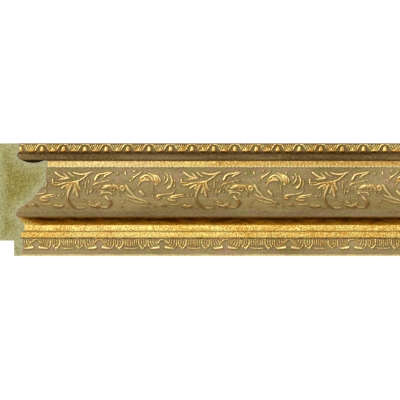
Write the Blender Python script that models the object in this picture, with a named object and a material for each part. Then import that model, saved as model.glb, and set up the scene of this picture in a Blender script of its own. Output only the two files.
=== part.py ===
"""A length of picture-frame moulding: one extruded strip with a rabbet and an embossed face.

The strip lies on its flat back. X runs along it, Y goes across from the sight edge to the
outer edge, and Z rises from the back to the face. The section is drawn as distance across
from the outer edge and height above the back, in millimetres. The ornament is raised along
strokes, each a tapered ridge on a smooth centre line, and the face is triangulated around
their outlines and ridges.
"""

import math

import bmesh
import bpy
import numpy as np
from mathutils import Vector
from mathutils.geometry import delaunay_2d_cdt

MM = 0.001

# Overall sizes, in millimetres
LENGTH = 246.6
WIDTH = 67.7
THICKNESS = 34.2
RABBET_WIDTH = 9.2
RABBET_DEPTH = 13.7
SPARE_LENGTH = 16.0

# Heights of the face's members above the back
BAND_TOP = 16.8
CHANNEL_FLOOR = 15.3
CREST_BACK = 31.8
PANEL_TOP = 33.1
PANEL_SHOULDER = 29.1
VALLEY_FLOOR = 14.7
BEAD_TOP = 20.0
FILLET_TOP = 17.9
LOWER_BAND_TOP = 19.0
SIGHT_EDGE_TOP = 17.4

# Where the members stand, across from the outer edge
BAND_EDGE = 4.8
CHANNEL_MIDDLE = 7.6
CREST_EDGE = 10.5
PANEL_START = 14.8
PANEL_END = 43.4
BEAD_START = 49.0
BEAD_END = 52.7
FILLET_START = 53.1
GROOVE_START = 56.7
LOWER_BAND_START = 57.5
LOWER_BAND_END = 63.8

# The ornament's drawing grid, and the repeats along the strip from its sharp end
GRID = 0.6
PANEL_REPEAT = 77.0
PANEL_FIRST = 34.2
ARCADE_REPEAT = 12.87
ARCADE_FIRST = 17.8
KEYHOLE_REPEAT = 37.9
KEYHOLE_FIRST = 27.1

# How strokes become facets
RIDGE_SPACING = 2.6
LEAST_RISE = 0.3
RISE_PER_WIDTH = 0.34
TIP_WIDTH = 0.3
MERGE_DISTANCE = 0.04

# What the triangulation gives back: the whole area, or only what the outline encloses
WHOLE_AREA = 0
INSIDE_OUTLINE = 1

# Knots of the scroll, in grid steps along the repeat and down from the panel's top line:
# width first, then the centre line
LEAF_HEAD = (
    (2.6, (7, 3.5), (13, 8), (17, 9)),
    (1.8, (11.5, 11.5), (16.5, 10.2), (23, 10.2)),
    (1.8, (20, 4.5), (27, 9)),
    (2.2, (25.5, 4.5), (33, 6.5), (39.5, 5.7), (44.5, 4)),
    (2.2, (44.5, 4), (37.5, 8), (29, 13.6), (21.5, 15.2)),
    (1.8, (21.5, 15.2), (13.3, 20.6)),
    (2.2, (24, 17), (19.8, 28), (26.5, 38.3), (36, 39.5)),
    (2.4, (26.5, 17.7), (25.7, 24.3)),
    (2.6, (28.2, 18.5), (30.3, 27.7)),
    (2.2, (29, 16), (32.3, 21.4)),
)
FEATHERS = (
    (1.8, (38.6, 13), (37.5, 20)),
    (1.6, (40.6, 20.5), (39.4, 26.5)),
    (1.8, (47.7, 15.5), (42.7, 23.5)),
    (2.4, (47.3, 13), (50.6, 7.3), (62.2, 4.2)),
    (1.8, (56.4, 9.8), (61.4, 5.3)),
)
BIG_LEAF = (
    (3.8, (52, 20), (62, 17.2), (69, 18), (76, 20)),
    (3.0, (76, 17), (82, 23.1), (87, 27.7)),
    (2.0, (78.5, 26.5), (93, 31.4), (101, 34.5)),
    (1.8, (78.5, 31.4), (89.3, 33.5), (99.7, 35.7)),
    (1.6, (50.4, 18.5), (51.4, 22.5), (57.5, 22.5)),
    (1.6, (53.5, 26.4), (55, 24.8), (63.4, 24.8)),
    (2.2, (57.6, 28.5), (63.4, 33.5), (57, 39.5), (41.5, 36.6)),
    (1.8, (41.5, 36.6), (52.7, 33.9)),
)
VOLUTE = (
    (2.6, (94.5, 2.8), (89, 8.2), (84, 13.5)),
    (1.8, (90.3, 17.7), (94.7, 12.7), (102, 12.3)),
    (1.8, (92.6, 10.7), (99.2, 7.1), (105.5, 12.5)),
    (2.2, (99.7, 5.3), (106, 7.8), (112.9, 12.7), (109, 17)),
    (3.6, (105, 11.5), (110, 14.5)),
    (1.8, (119, 6.9), (120, 10.5), (116.2, 15.8)),
    (2.6, (122, 7.3), (124.2, 13.6), (119, 20.6)),
    (2.0, (127, 22.3), (119, 26), (108.4, 29.7)),
    (4.0, (91.2, 22.2), (96.6, 26.8)),
)
TRAILING_LEAF = (
    (1.6, (118.3, 30.2), (124, 28), (136.5, 25.8)),
    (1.6, (119.5, 31.2), (136.5, 30.8)),
    (1.8, (134.5, 37.6), (148, 39.3)),
    (2.0, (133.5, 10.2), (133, 15.5), (140, 16), (150, 14.6)),
)


def extend_line(path, across, height):
    path.append((across, height))


def extend_bow(path, across, height, bow, steps):
    """Add a bowed member. A positive bow swells out of the face, a negative one hollows it."""
    start_across, start_height = path[-1]
    run = across - start_across
    climb = height - start_height
    chord = math.hypot(run, climb)
    for step in range(1, steps + 1):
        part = step / steps
        swell = 4.0 * bow * part * (1.0 - part)
        path.append((
            start_across + run * part - climb / chord * swell,
            start_height + climb * part + run / chord * swell,
        ))


def face_section():
    """The face from the outer edge to the sight edge, member by member."""
    path = [(0.0, BAND_TOP)]
    extend_line(path, BAND_EDGE, BAND_TOP)
    extend_bow(path, CHANNEL_MIDDLE, CHANNEL_FLOOR, bow=-0.25, steps=2)
    extend_bow(path, CREST_EDGE - 0.2, CHANNEL_FLOOR + 3.3, bow=-0.5, steps=3)
    extend_bow(path, CREST_EDGE, CREST_BACK, bow=-1.5, steps=6)
    extend_line(path, CREST_EDGE, THICKNESS - 0.8)
    extend_line(path, CREST_EDGE + 0.6, THICKNESS)
    extend_line(path, PANEL_START - 0.4, THICKNESS)
    extend_line(path, PANEL_START, PANEL_TOP)
    extend_line(path, PANEL_START + 7.8, PANEL_TOP - 0.1)
    extend_bow(path, PANEL_START + 13.4, PANEL_SHOULDER, bow=0.6, steps=3)
    extend_line(path, PANEL_START + 18.8, PANEL_SHOULDER - 4.2)
    extend_line(path, PANEL_START + 24.2, PANEL_SHOULDER - 11.9)
    extend_bow(path, PANEL_END, VALLEY_FLOOR, bow=-0.45, steps=3)
    extend_bow(path, BEAD_START, BEAD_TOP, bow=0.25, steps=3)
    extend_bow(path, BEAD_END, BEAD_TOP, bow=0.3, steps=3)
    extend_line(path, FILLET_START, FILLET_TOP)
    extend_bow(path, GROOVE_START, FILLET_TOP, bow=0.25, steps=3)
    extend_line(path, GROOVE_START + 0.4, FILLET_TOP - 0.9)
    extend_line(path, LOWER_BAND_START, LOWER_BAND_TOP)
    extend_line(path, LOWER_BAND_END, LOWER_BAND_TOP)
    extend_line(path, LOWER_BAND_END + 0.4, LOWER_BAND_TOP - 0.6)
    extend_line(path, WIDTH - 1.2, LOWER_BAND_TOP - 0.6)
    extend_line(path, WIDTH - 0.8, SIGHT_EDGE_TOP + 0.4)
    extend_line(path, WIDTH, SIGHT_EDGE_TOP)
    return np.array(path)


def back_section():
    """The sight edge, the rabbet and the flat back, in order after the face."""
    shelf_start = WIDTH - RABBET_WIDTH
    return ((WIDTH, RABBET_DEPTH), (shelf_start, RABBET_DEPTH), (shelf_start, 0.0), (0.0, 0.0))


class Face:
    """The face rolled out flat: distance along the section's girth instead of across."""

    def __init__(self, section):
        self.section = section
        steps = np.hypot(*np.diff(section, axis=0).T)
        self.girth = np.concatenate(([0.0], np.cumsum(steps)))
        slopes = np.diff(section, axis=0) / steps[:, None]
        normals = np.stack((-slopes[:, 1], slopes[:, 0]), axis=1)
        corners = np.vstack((normals[:1], normals[:-1] + normals[1:], normals[-1:]))
        self.normals = corners / np.linalg.norm(corners, axis=1)[:, None]

    def girth_at(self, across):
        """Girth of a place on the bands or the panel, which the hollow doesn't undercut."""
        distance, height = self.section.T
        hollow = (distance > CREST_EDGE) & (height < CREST_BACK) & (distance < PANEL_START)
        outer = distance < CREST_EDGE
        inner = (distance > CREST_EDGE) & ~hollow
        near_outer = np.interp(across, distance[outer][:3], self.girth[outer][:3])
        near_inner = np.interp(across, distance[inner], self.girth[inner])
        return np.where(across < CREST_EDGE, near_outer, near_inner)

    def place(self, girth):
        """Distance across, height, and the normal's two parts at each girth."""
        values = (self.section[:, 0], self.section[:, 1], self.normals[:, 0], self.normals[:, 1])
        return [np.interp(girth, self.girth, column) for column in values]


class Stroke:
    """A tapered ridge along a smooth centre line, in millimetres along and across."""

    def __init__(self, knots, width, rise=None):
        self.line = smooth_line(np.array(knots, dtype=float))
        self.width = width
        self.rise = rise if rise else LEAST_RISE + RISE_PER_WIDTH * width
        steps = np.hypot(*np.diff(self.line, axis=0).T)
        self.travel = np.concatenate(([0.0], np.cumsum(steps)))

    def fullness(self, part):
        """1 in the middle of the stroke, falling to a narrow tip at both ends."""
        return np.sqrt(np.clip(np.sin(np.pi * np.clip(part, 0.0, 1.0)), 0.0, 1.0))

    def half_width(self, part):
        return 0.5 * (TIP_WIDTH + (self.width - TIP_WIDTH) * self.fullness(part))

    def facets(self):
        """Ridge and outline points, and the edges between them."""
        count = max(3, round(self.travel[-1] / RIDGE_SPACING) + 2)
        parts = np.linspace(0.0, 1.0, count)
        along = parts * self.travel[-1]
        centre = np.stack([np.interp(along, self.travel, axis) for axis in self.line.T], axis=1)
        ways = np.gradient(centre, axis=0)
        ways /= np.linalg.norm(ways, axis=1)[:, None]
        sideways = np.stack((-ways[:, 1], ways[:, 0]), axis=1)
        reach = self.half_width(parts)[:, None] * sideways
        inner = slice(1, -1)
        points = np.vstack((centre, (centre + reach)[inner], (centre - reach)[inner]))
        left = [0, *range(count, 2 * count - 2), count - 1]
        right = [0, *range(2 * count - 2, 3 * count - 4), count - 1]
        edges = [pair for chain in (range(count), left, right) for pair in zip(chain, chain[1:])]
        return points, edges

    def raise_points(self, points, relief):
        """Lift the points under this stroke, keeping what is already higher."""
        margin = 0.5 * self.width
        low = self.line.min(axis=0) - margin
        high = self.line.max(axis=0) + margin
        near = np.flatnonzero(((points >= low) & (points <= high)).all(axis=1))
        if near.size == 0:
            return
        starts = self.line[:-1]
        spans = np.diff(self.line, axis=0)
        lengths = np.linalg.norm(spans, axis=1)
        offset = points[near][:, None, :] - starts[None]
        share = np.clip((offset * spans).sum(axis=2) / lengths**2, 0.0, 1.0)
        gap = np.linalg.norm(offset - share[..., None] * spans, axis=2)
        closest = gap.argmin(axis=1)
        rows = np.arange(near.size)
        travel = self.travel[closest] + share[rows, closest] * lengths[closest]
        part = travel / self.travel[-1]
        inside = 1.0 - gap[rows, closest] / self.half_width(part)
        lift = self.rise * self.fullness(part) * np.clip(inside, 0.0, 1.0)
        relief[near] = np.maximum(relief[near], lift)


def smooth_line(knots, steps=6):
    """A curve through the knots, with straight ends where there are only two."""
    if len(knots) == 2:
        return knots
    padded = np.vstack((2 * knots[0] - knots[1], knots, 2 * knots[-1] - knots[-2]))
    points = [knots[0]]
    for index in range(1, len(padded) - 2):
        before, start, end, after = padded[index - 1:index + 3]
        for step in range(1, steps + 1):
            part = step / steps
            points.append(0.5 * (
                2 * start + (end - before) * part
                + (2 * before - 5 * start + 4 * end - after) * part**2
                + (3 * start - before - 3 * end + after) * part**3
            ))
    return np.array(points)


def scroll_strokes(origin):
    """The leaf scroll of one repeat of the panel, from where the repeat starts."""
    strokes = []
    for group in (LEAF_HEAD, FEATHERS, BIG_LEAF, VOLUTE, TRAILING_LEAF):
        for width, *knots in group:
            places = [(origin + GRID * along, PANEL_START + GRID * down) for along, down in knots]
            strokes.append(Stroke(places, width * GRID))
    return strokes


def arcade_strokes(centre):
    """One arch of the outer band with the berry under it and the foot beside it."""
    half = 0.5 * ARCADE_REPEAT
    lines = (
        (0.9, 0.45, (-half, 4.0), (-0.62 * half, 2.2), (0.0, 0.7), (0.62 * half, 2.2), (half, 4.0)),
        (2.3, 0.8, (-1.9, 3.5), (1.9, 3.5)),
        (0.9, 0.5, (half - 1.7, 4.3), (half + 1.7, 4.3)),
        (0.8, 0.4, (half, 3.8), (half, 1.2)),
    )
    strokes = []
    for width, rise, *knots in lines:
        strokes.append(Stroke([(centre + along, across) for along, across in knots], width, rise))
    return strokes


def keyhole_strokes(centre):
    """One keyhole of the lower band, the same to both sides of its centre."""
    top = LOWER_BAND_START + 0.5
    foot = LOWER_BAND_START + 5.2
    cap = ((-3.3, top + 1.9), (-2.1, top + 0.4), (0.0, top - 0.1), (2.1, top + 0.4), (3.3, top + 1.9))
    strokes = [Stroke([(centre + along, across) for along, across in cap], 0.9, 0.45)]
    one_side = (
        (1.2, (1.2, foot), (6.3, foot)),
        (0.8, (4.2, foot - 1.0), (5.6, top + 0.5)),
        (0.8, (7.8, foot - 0.6), (8.2, top + 0.3)),
        (1.0, (10.9, top + 0.6), (10.9, foot - 1.0), (12.2, foot + 0.2)),
        (1.0, (13.9, top + 0.6), (13.9, foot - 1.0), (12.2, foot + 0.2)),
        (0.8, (16.0, foot - 1.4), (16.0, top + 0.3)),
        (1.0, (15.2, foot + 0.2), (18.7, foot + 0.6)),
    )
    for side in (-1, 1):
        for width, *knots in one_side:
            places = [(centre + side * along, across) for along, across in knots]
            strokes.append(Stroke(places, width))
    return strokes


def repeats(first, pitch, reach):
    """The repeats' places along the strip, from one spare length to the other."""
    low = math.floor((-reach - first) / pitch)
    high = math.ceil((reach - first) / pitch)
    return [first + pitch * index for index in range(low, high + 1)]


def ornament(reach):
    """Every stroke that lies wholly within the blank, which is longer than the strip."""
    left = -0.5 * LENGTH
    strokes = []
    for origin in repeats(left + PANEL_FIRST, PANEL_REPEAT, reach):
        strokes += scroll_strokes(origin)
    for centre in repeats(left + ARCADE_FIRST, ARCADE_REPEAT, reach):
        strokes += arcade_strokes(centre)
    for centre in repeats(left + KEYHOLE_FIRST, KEYHOLE_REPEAT, reach):
        strokes += keyhole_strokes(centre)
    limit = reach - 0.5
    return [stroke for stroke in strokes if np.abs(stroke.line[:, 0]).max() < limit]


def triangulate_face(face, strokes, reach):
    """Flat triangles over the rolled-out face, along its members and around the strokes."""
    points = []
    edges = []
    for girth in face.girth:
        edges.append((len(points), len(points) + 1))
        points += [Vector((-reach, girth)), Vector((reach, girth))]
    for stroke in strokes:
        places, links = stroke.facets()
        girths = face.girth_at(places[:, 1])
        edges += [(len(points) + start, len(points) + end) for start, end in links]
        points += [Vector(place) for place in zip(places[:, 0], girths)]
    flat, _, triangles, *_ = delaunay_2d_cdt(points, edges, [], WHOLE_AREA, MERGE_DISTANCE)
    return np.array([tuple(point) for point in flat]), triangles


def blank_mesh(face, strokes, reach):
    """The strip before its ends are cut: the carved face, its sides, rabbet and back."""
    flat, triangles = triangulate_face(face, strokes, reach)
    across, height, normal_across, normal_height = face.place(flat[:, 1])
    relief = np.zeros(len(flat))
    ground = np.stack((flat[:, 0], across), axis=1)
    for stroke in strokes:
        stroke.raise_points(ground, relief)
    across = across + relief * normal_across
    height = height + relief * normal_height
    bm = bmesh.new()
    verts = [
        bm.verts.new((along * MM, (0.5 * WIDTH - out) * MM, up * MM))
        for along, out, up in zip(flat[:, 0], across, height)
    ]
    for triangle in triangles:
        bm.faces.new([verts[index] for index in triangle])
    ends = {}
    for side in (-1, 1):
        ends[side] = [
            bm.verts.new((side * reach * MM, (0.5 * WIDTH - out) * MM, up * MM))
            for out, up in back_section()
        ]
    girth_end = face.girth[-1]
    rims = {}
    for name, chosen, order in (
        ("outer", np.isclose(flat[:, 1], 0.0, atol=1e-4), flat[:, 0]),
        ("sight", np.isclose(flat[:, 1], girth_end, atol=1e-4), flat[:, 0]),
        ("left", np.isclose(flat[:, 0], -reach, atol=1e-4), flat[:, 1]),
        ("right", np.isclose(flat[:, 0], reach, atol=1e-4), flat[:, 1]),
    ):
        indices = np.flatnonzero(chosen)
        rims[name] = [verts[index] for index in indices[np.argsort(order[indices])]]
    bm.faces.new([*rims["sight"], ends[1][0], ends[-1][0]])
    for index in range(3):
        bm.faces.new([ends[-1][index], ends[1][index], ends[1][index + 1], ends[-1][index + 1]])
    bm.faces.new([ends[-1][3], ends[1][3], *reversed(rims["outer"])])
    bm.faces.new([*rims["left"], *ends[-1]])
    bm.faces.new([*reversed(rims["right"]), *reversed(ends[1])])
    bmesh.ops.recalc_face_normals(bm, faces=bm.faces)
    return bm


def cut_end(bm, place, outward):
    """Saw the blank on a plane, drop what lies outside it, and close the cut."""
    geometry = [*bm.verts, *bm.edges, *bm.faces]
    cut = bmesh.ops.bisect_plane(
        bm, geom=geometry, dist=1e-7, plane_co=place, plane_no=outward, clear_outer=True,
    )
    rim = [item for item in cut["geom_cut"] if isinstance(item, bmesh.types.BMEdge)]
    verts = list({vert for edge in rim for vert in edge.verts})
    verts.sort(key=lambda vert: tuple(vert.co))
    number = {vert: index for index, vert in enumerate(verts)}
    flat = [Vector((vert.co.y / MM, vert.co.z / MM)) for vert in verts]
    edges = [(number[edge.verts[0]], number[edge.verts[1]]) for edge in rim]
    _, _, triangles, sources, *_ = delaunay_2d_cdt(flat, edges, [], INSIDE_OUTLINE, 1e-5)
    for triangle in triangles:
        bm.faces.new([verts[sources[index][0]] for index in triangle])


def make_material():
    material = bpy.data.materials.new("patinated_gilding")
    material.use_nodes = True
    shader = material.node_tree.nodes["Principled BSDF"]
    shader.inputs["Base Color"].default_value = (0.34, 0.24, 0.09, 1.0)
    shader.inputs["Roughness"].default_value = 0.45
    shader.inputs["Metallic"].default_value = 0.3
    return material


def make_strip():
    reach = 0.5 * LENGTH + SPARE_LENGTH
    face = Face(face_section())
    bm = blank_mesh(face, ornament(reach), reach)
    cut_end(bm, Vector((0.5 * LENGTH * MM, 0.0, 0.0)), Vector((1.0, 0.0, 0.0)))
    cut_end(bm, Vector((-0.5 * LENGTH * MM, 0.0, 0.0)), Vector((-1.0, 0.0, 1.0)))
    bmesh.ops.remove_doubles(bm, verts=bm.verts, dist=0.5 * MERGE_DISTANCE * MM)
    bmesh.ops.dissolve_degenerate(bm, edges=bm.edges, dist=0.25 * MERGE_DISTANCE * MM)
    bmesh.ops.triangulate(bm, faces=bm.faces)
    bmesh.ops.recalc_face_normals(bm, faces=bm.faces)
    mesh = bpy.data.meshes.new("moulding_strip")
    bm.to_mesh(mesh)
    bm.free()
    mesh.shade_smooth()
    mesh.set_sharp_from_angle(angle=math.radians(32))
    mesh.materials.append(make_material())
    strip = bpy.data.objects.new("moulding_strip", mesh)
    bpy.context.scene.collection.objects.link(strip)


def main():
    for existing in list(bpy.data.objects):
        bpy.data.objects.remove(existing)
    make_strip()


main()
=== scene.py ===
import math

import bpy
import numpy as np
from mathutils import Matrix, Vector, noise
from mathutils.geometry import delaunay_2d_cdt


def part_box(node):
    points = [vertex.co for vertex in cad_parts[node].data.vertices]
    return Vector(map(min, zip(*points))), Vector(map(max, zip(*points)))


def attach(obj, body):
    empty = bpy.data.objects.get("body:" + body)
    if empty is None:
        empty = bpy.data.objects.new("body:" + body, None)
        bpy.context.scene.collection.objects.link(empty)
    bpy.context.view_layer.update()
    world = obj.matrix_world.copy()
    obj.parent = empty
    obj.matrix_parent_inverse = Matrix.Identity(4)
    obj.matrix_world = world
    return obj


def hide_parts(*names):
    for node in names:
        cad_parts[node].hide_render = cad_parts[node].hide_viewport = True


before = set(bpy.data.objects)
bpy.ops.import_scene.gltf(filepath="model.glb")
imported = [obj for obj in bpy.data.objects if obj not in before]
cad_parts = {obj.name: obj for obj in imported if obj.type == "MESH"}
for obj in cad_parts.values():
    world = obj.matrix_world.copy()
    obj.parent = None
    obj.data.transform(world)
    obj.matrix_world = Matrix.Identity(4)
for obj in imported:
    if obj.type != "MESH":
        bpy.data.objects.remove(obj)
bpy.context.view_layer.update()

MM = 0.001

# The strip's box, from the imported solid, in millimetres
strip_low, strip_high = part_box("moulding_strip")
LENGTH = (strip_high.x - strip_low.x) / MM
WIDTH = (strip_high.y - strip_low.y) / MM
THICKNESS = (strip_high.z - strip_low.z) / MM
HALF = 0.5 * LENGTH

# The section, as distance across from the outer edge and height above the back
RABBET_WIDTH = 9.2
RABBET_DEPTH = 13.7
BAND_TOP = 16.8
BAND_EDGE = 5.1
CHANNEL_MIDDLE = 7.6
CHANNEL_FLOOR = 15.3
CREST_EDGE = 10.5
CREST_BACK = 31.8
PANEL_START = 14.8
PANEL_TOP = 33.1
PANEL_SHOULDER = 29.1
PANEL_CARVED_END = 39.6
PANEL_END = 43.4
VALLEY_FLOOR = 14.7
BEAD_START = 49.25
BEAD_END = 52.85
BEAD_TOP = 20.0
FILLET_START = 53.1
FILLET_TOP = 17.9
GROOVE_START = 56.7
LOWER_BAND_START = 57.3
LOWER_BAND_END = 63.8
LOWER_BAND_TOP = 19.0
SIGHT_EDGE_TOP = 17.4
CORNER_RADIUS = 0.16
# A corner never takes up more than this share of the sides that meet in it
CORNER_SHARE = 0.4
# A corner flatter than this, as the cosine between its two sides, isn't eased
NEARLY_STRAIGHT = -0.985

# The face's members in order: where each ends across and above the back, and for a bowed one how
# far it swells out of its chord, or sinks where that is negative, and in how many steps
MEMBERS = (
    (BAND_EDGE, BAND_TOP),
    (CHANNEL_MIDDLE, CHANNEL_FLOOR, -0.25, 6),
    (CREST_EDGE - 0.2, CHANNEL_FLOOR + 3.3, -0.5, 6),
    (CREST_EDGE, CREST_BACK, -1.5, 16),
    (CREST_EDGE, THICKNESS - 0.8),
    (CREST_EDGE + 0.6, THICKNESS),
    (PANEL_START - 0.4, THICKNESS),
    (PANEL_START, PANEL_TOP),
    (PANEL_START + 7.8, PANEL_TOP - 0.1),
    (PANEL_START + 13.4, PANEL_SHOULDER, 0.6, 10),
    (PANEL_START + 18.8, PANEL_SHOULDER - 4.2),
    (PANEL_START + 24.2, PANEL_SHOULDER - 11.9),
    (PANEL_END, VALLEY_FLOOR, -0.45, 10),
    (BEAD_START, BEAD_TOP, 0.25, 10),
    (BEAD_END, BEAD_TOP, 0.16, 10),
    (FILLET_START, FILLET_TOP),
    (GROOVE_START, FILLET_TOP, 0.12, 10),
    (GROOVE_START + 0.4, FILLET_TOP - 0.9),
    (LOWER_BAND_START, LOWER_BAND_TOP),
    (LOWER_BAND_END, LOWER_BAND_TOP),
    (LOWER_BAND_END + 0.4, LOWER_BAND_TOP - 0.6),
    (WIDTH - 1.2, LOWER_BAND_TOP - 0.6),
    (WIDTH - 0.8, SIGHT_EDGE_TOP + 0.4),
    (WIDTH, SIGHT_EDGE_TOP),
)
# The stretches that the embossing roller has carved, and the one that it can't reach
CARVED_STRETCHES = (
    (0.0, BAND_EDGE + 0.1), (PANEL_START, PANEL_CARVED_END), (LOWER_BAND_START, LOWER_BAND_END))
HIDDEN_STRETCH = (BAND_EDGE + 0.5, CREST_EDGE + 0.2)

# The ornament's drawing grid, and the repeats along the strip from its sharp end
GRID = 0.6
PANEL_REPEAT = 77.0
PANEL_FIRST = 34.2
ARCADE_REPEAT = 12.87
ARCADE_FIRST = 17.8
KEYHOLE_REPEAT = 37.9
KEYHOLE_FIRST = 27.1

# How a stroke stands, and how much of its rise is left at a tip
LEAST_RISE = 0.3
RISE_PER_WIDTH = 0.34
KEYHOLE_LEAST_RISE = 0.12
KEYHOLE_RISE_PER_WIDTH = 0.32
BED_RISE = 0.3
CRACK_WIDTH = 0.35
CRACK_DEPTH = 0.3
CRACK_LEAN = 0.25
TIP_RISE = 0.25
TIP_WIDTH = 0.3
# The rounded cross-section of a stroke: flatter on top, then steeper to its foot
TOP_POWER = 2.4
FOOT_POWER = 0.55
# The rounded ends of a tail or a drop, as shares of its length, and how far it tapers
ROUND_START = 0.14
ROUND_FINISH = 0.1
TAPER = 0.62
# The side of a stroke away from the light, and how dark its two sides and a bed are toned: on the
# sides this is painted shade, strongest on the side away from the light
LEE_WAY = np.array([0.62, 0.78])
FOOT_TONE = 0.45
LEE_TONE = 0.55
BED_TONE = 0.56

# How finely the relief is sampled
STROKE_STEP = 0.37
FEWEST_STEPS = 4
RING_POINTS = 11
NARROW_STROKE = 0.85
WIDE_SPREAD = (0.55, 0.86, 1.0)
NARROW_SPREAD = (0.62, 1.0)
SURVEY_MARGIN = 1.5
CARVED_STEP = 0.61
PLAIN_STEP = 0.8
PLAIN_STRIDE = 2.2
CAP_STEP = 0.9
RIM_STEP = 0.3
LEAST_RIM_STEP = 0.05
CUT_ROUNDS = 6
MERGE_DISTANCE = 0.03
ON_RIM = 0.02
ON_EDGE = 0.001
STROKE_MARGIN = 0.12
GROUND_MARGIN = 0.3
CAP_MARGIN = 0.35
EDGE_MARGIN = 0.1
CLEAR_OF_STROKES = 0.16
INSIDE_OUTLINE = 1
EXACT_MERGE = 0.0001
FAR = 9.0

# A slow unevenness of the extruded face, kept off its edges and its highest line. Its waves have
# a strength, a rate along, a rate across and a place in the noise.
SWAY = 0.05
SWAY_MARGIN = 0.3
TOP_MARGIN = 0.12
WAVES = ((1.0, 0.045, 0.16, 3.0), (0.5, 0.3, 0.5, 8.0))

# Up to this height above the back the sawn foam is as pale as its skin, and it deepens from there
# at this rate
PALE_BACK = 4.0
PALE_BACK_RATE = 1.2

# The three finishes, by their place in the strip's list of materials
PATINA, CORE, SKIN = range(3)

# The scroll's strokes: shape, width, then the centre line in grid steps along the repeat and
# down from the panel's top line. A blade tapers both ways, a tail starts thick, a drop ends thick,
# a bed is a low broad leaf that finer strokes lie on, and the brown stroke that is named for wear is
# a blade whose gilding has gone back to the brown under it. Laid mostly on the lower right of the
# bright strokes, its brown is also painted shade on their side away from the light.
LEAF_HEAD = (
    ("tail", 3.2, (6.9, 4.0), (10.2, 6.5), (13.2, 8.5), (17.3, 9.8), (21.6, 10.2)),
    ("blade", 1.9, (11.2, 11.8), (14.2, 11.3), (17.3, 11.1), (21.6, 10.3)),
    ("blade", 1.6, (15.4, 4.8), (17.3, 6.7), (19.6, 9.0), (21.4, 10.5)),
    ("tail", 2.3, (20.2, 4.1), (22.6, 6.2), (24.6, 7.8), (27.2, 8.9)),
    ("blade", 2.9, (25.0, 4.3), (28.5, 5.7), (32.6, 6.5), (37.7, 6.2), (41.3, 5.0), (45.3, 4.1)),
    ("blade", 1.9, (45.3, 4.1), (40.8, 6.0), (37.7, 8.5), (34.7, 10.8), (31.6, 12.6), (27.5, 13.9),
     (21.4, 14.7)),
    ("bed", 3.6, (12.6, 9.9), (17.4, 10.2), (22.8, 10.3)),
    ("bed", 5.6, (17.8, 18.2), (21.6, 17.2), (26.4, 15.6), (31.6, 13.6)),
    ("bed", 6.6, (28.8, 13.6), (28.6, 18.6), (28.4, 23.6), (29.4, 27.6)),
    ("bed", 4.2, (23.4, 16), (21, 20.6), (19.8, 25.6)),
    ("blade", 1.8, (4.8, 16.6), (7.6, 17.2), (11.2, 16.7), (15.3, 15.4), (19.3, 14.6), (23, 14.3)),
    ("blade", 2.2, (5.9, 10.4), (5.0, 12.8), (4.9, 14.8), (5.8, 17)),
    ("tail", 1.6, (5.4, 14.4), (8.6, 14.9), (12.2, 14.7)),
    ("drop", 2.4, (21.4, 16.2), (16.3, 18.5), (12.9, 20.8)),
    ("blade", 1.7, (21.0, 17.6), (19.2, 19.6), (17.9, 21.6)),
    ("blade", 2.9, (24.3, 16.2), (22.2, 19.8), (20.6, 23.8), (19.6, 27.9), (19.7, 30.5)),
    ("worn_and_shaded", 2.1, (19.6, 28), (20.1, 32), (21.9, 35.6), (25.2, 38.6), (28.6, 40)),
    ("blade", 1.3, (27.6, 39.9), (33.6, 40.1), (37.4, 39.7)),
    ("drop", 2.8, (27.6, 15.5), (27.2, 19), (26, 22.3), (24.8, 25.4)),
    ("worn_and_shaded", 2.2, (29.2, 26), (31, 29.4)),
    ("drop", 3.1, (27.6, 19.2), (28.6, 23.8), (30, 28.3)),
    ("tail", 3.2, (29.5, 13.8), (30.4, 17.7), (33, 22.4)),
    ("drop", 1.5, (36.3, 32.5), (37.1, 33.1)),
    ("drop", 1.5, (36.3, 36.3), (37.1, 36.9)),
)
FEATHERS = (
    ("blade", 1.2, (34.7, 15.2), (34.7, 17.4)),
    ("drop", 2.1, (38.2, 13.2), (37.8, 16.7), (37.4, 20.2)),
    ("blade", 1.3, (41.3, 11.1), (41, 16.1)),
    ("blade", 1.6, (40.3, 20.6), (39.8, 23.8), (39.5, 26.9)),
    ("blade", 1.6, (41.7, 21.6), (42.4, 24.1), (43.8, 22.3), (44.4, 19.6)),
    ("blade", 1.2, (49.8, 17.9), (48.2, 20.4)),
    ("drop", 1.5, (47.4, 22.7), (47.5, 24.4)),
    ("blade", 1.8, (44.3, 18.4), (46.4, 16.4), (48.9, 15.2), (52.4, 14.8)),
    ("blade", 1.0, (51.6, 14.8), (56.1, 13.6), (60.2, 12.9), (64, 12.9)),
    ("tail", 3.3, (46.7, 13.2), (48.2, 10.1), (50, 7.5), (52.5, 6.2), (57.1, 5.5), (60.7, 4.7),
     (65.4, 4.3)),
    ("blade", 2.2, (55.3, 10.5), (57.1, 8.0), (59.7, 6.7), (63.6, 5.3)),
)
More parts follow.
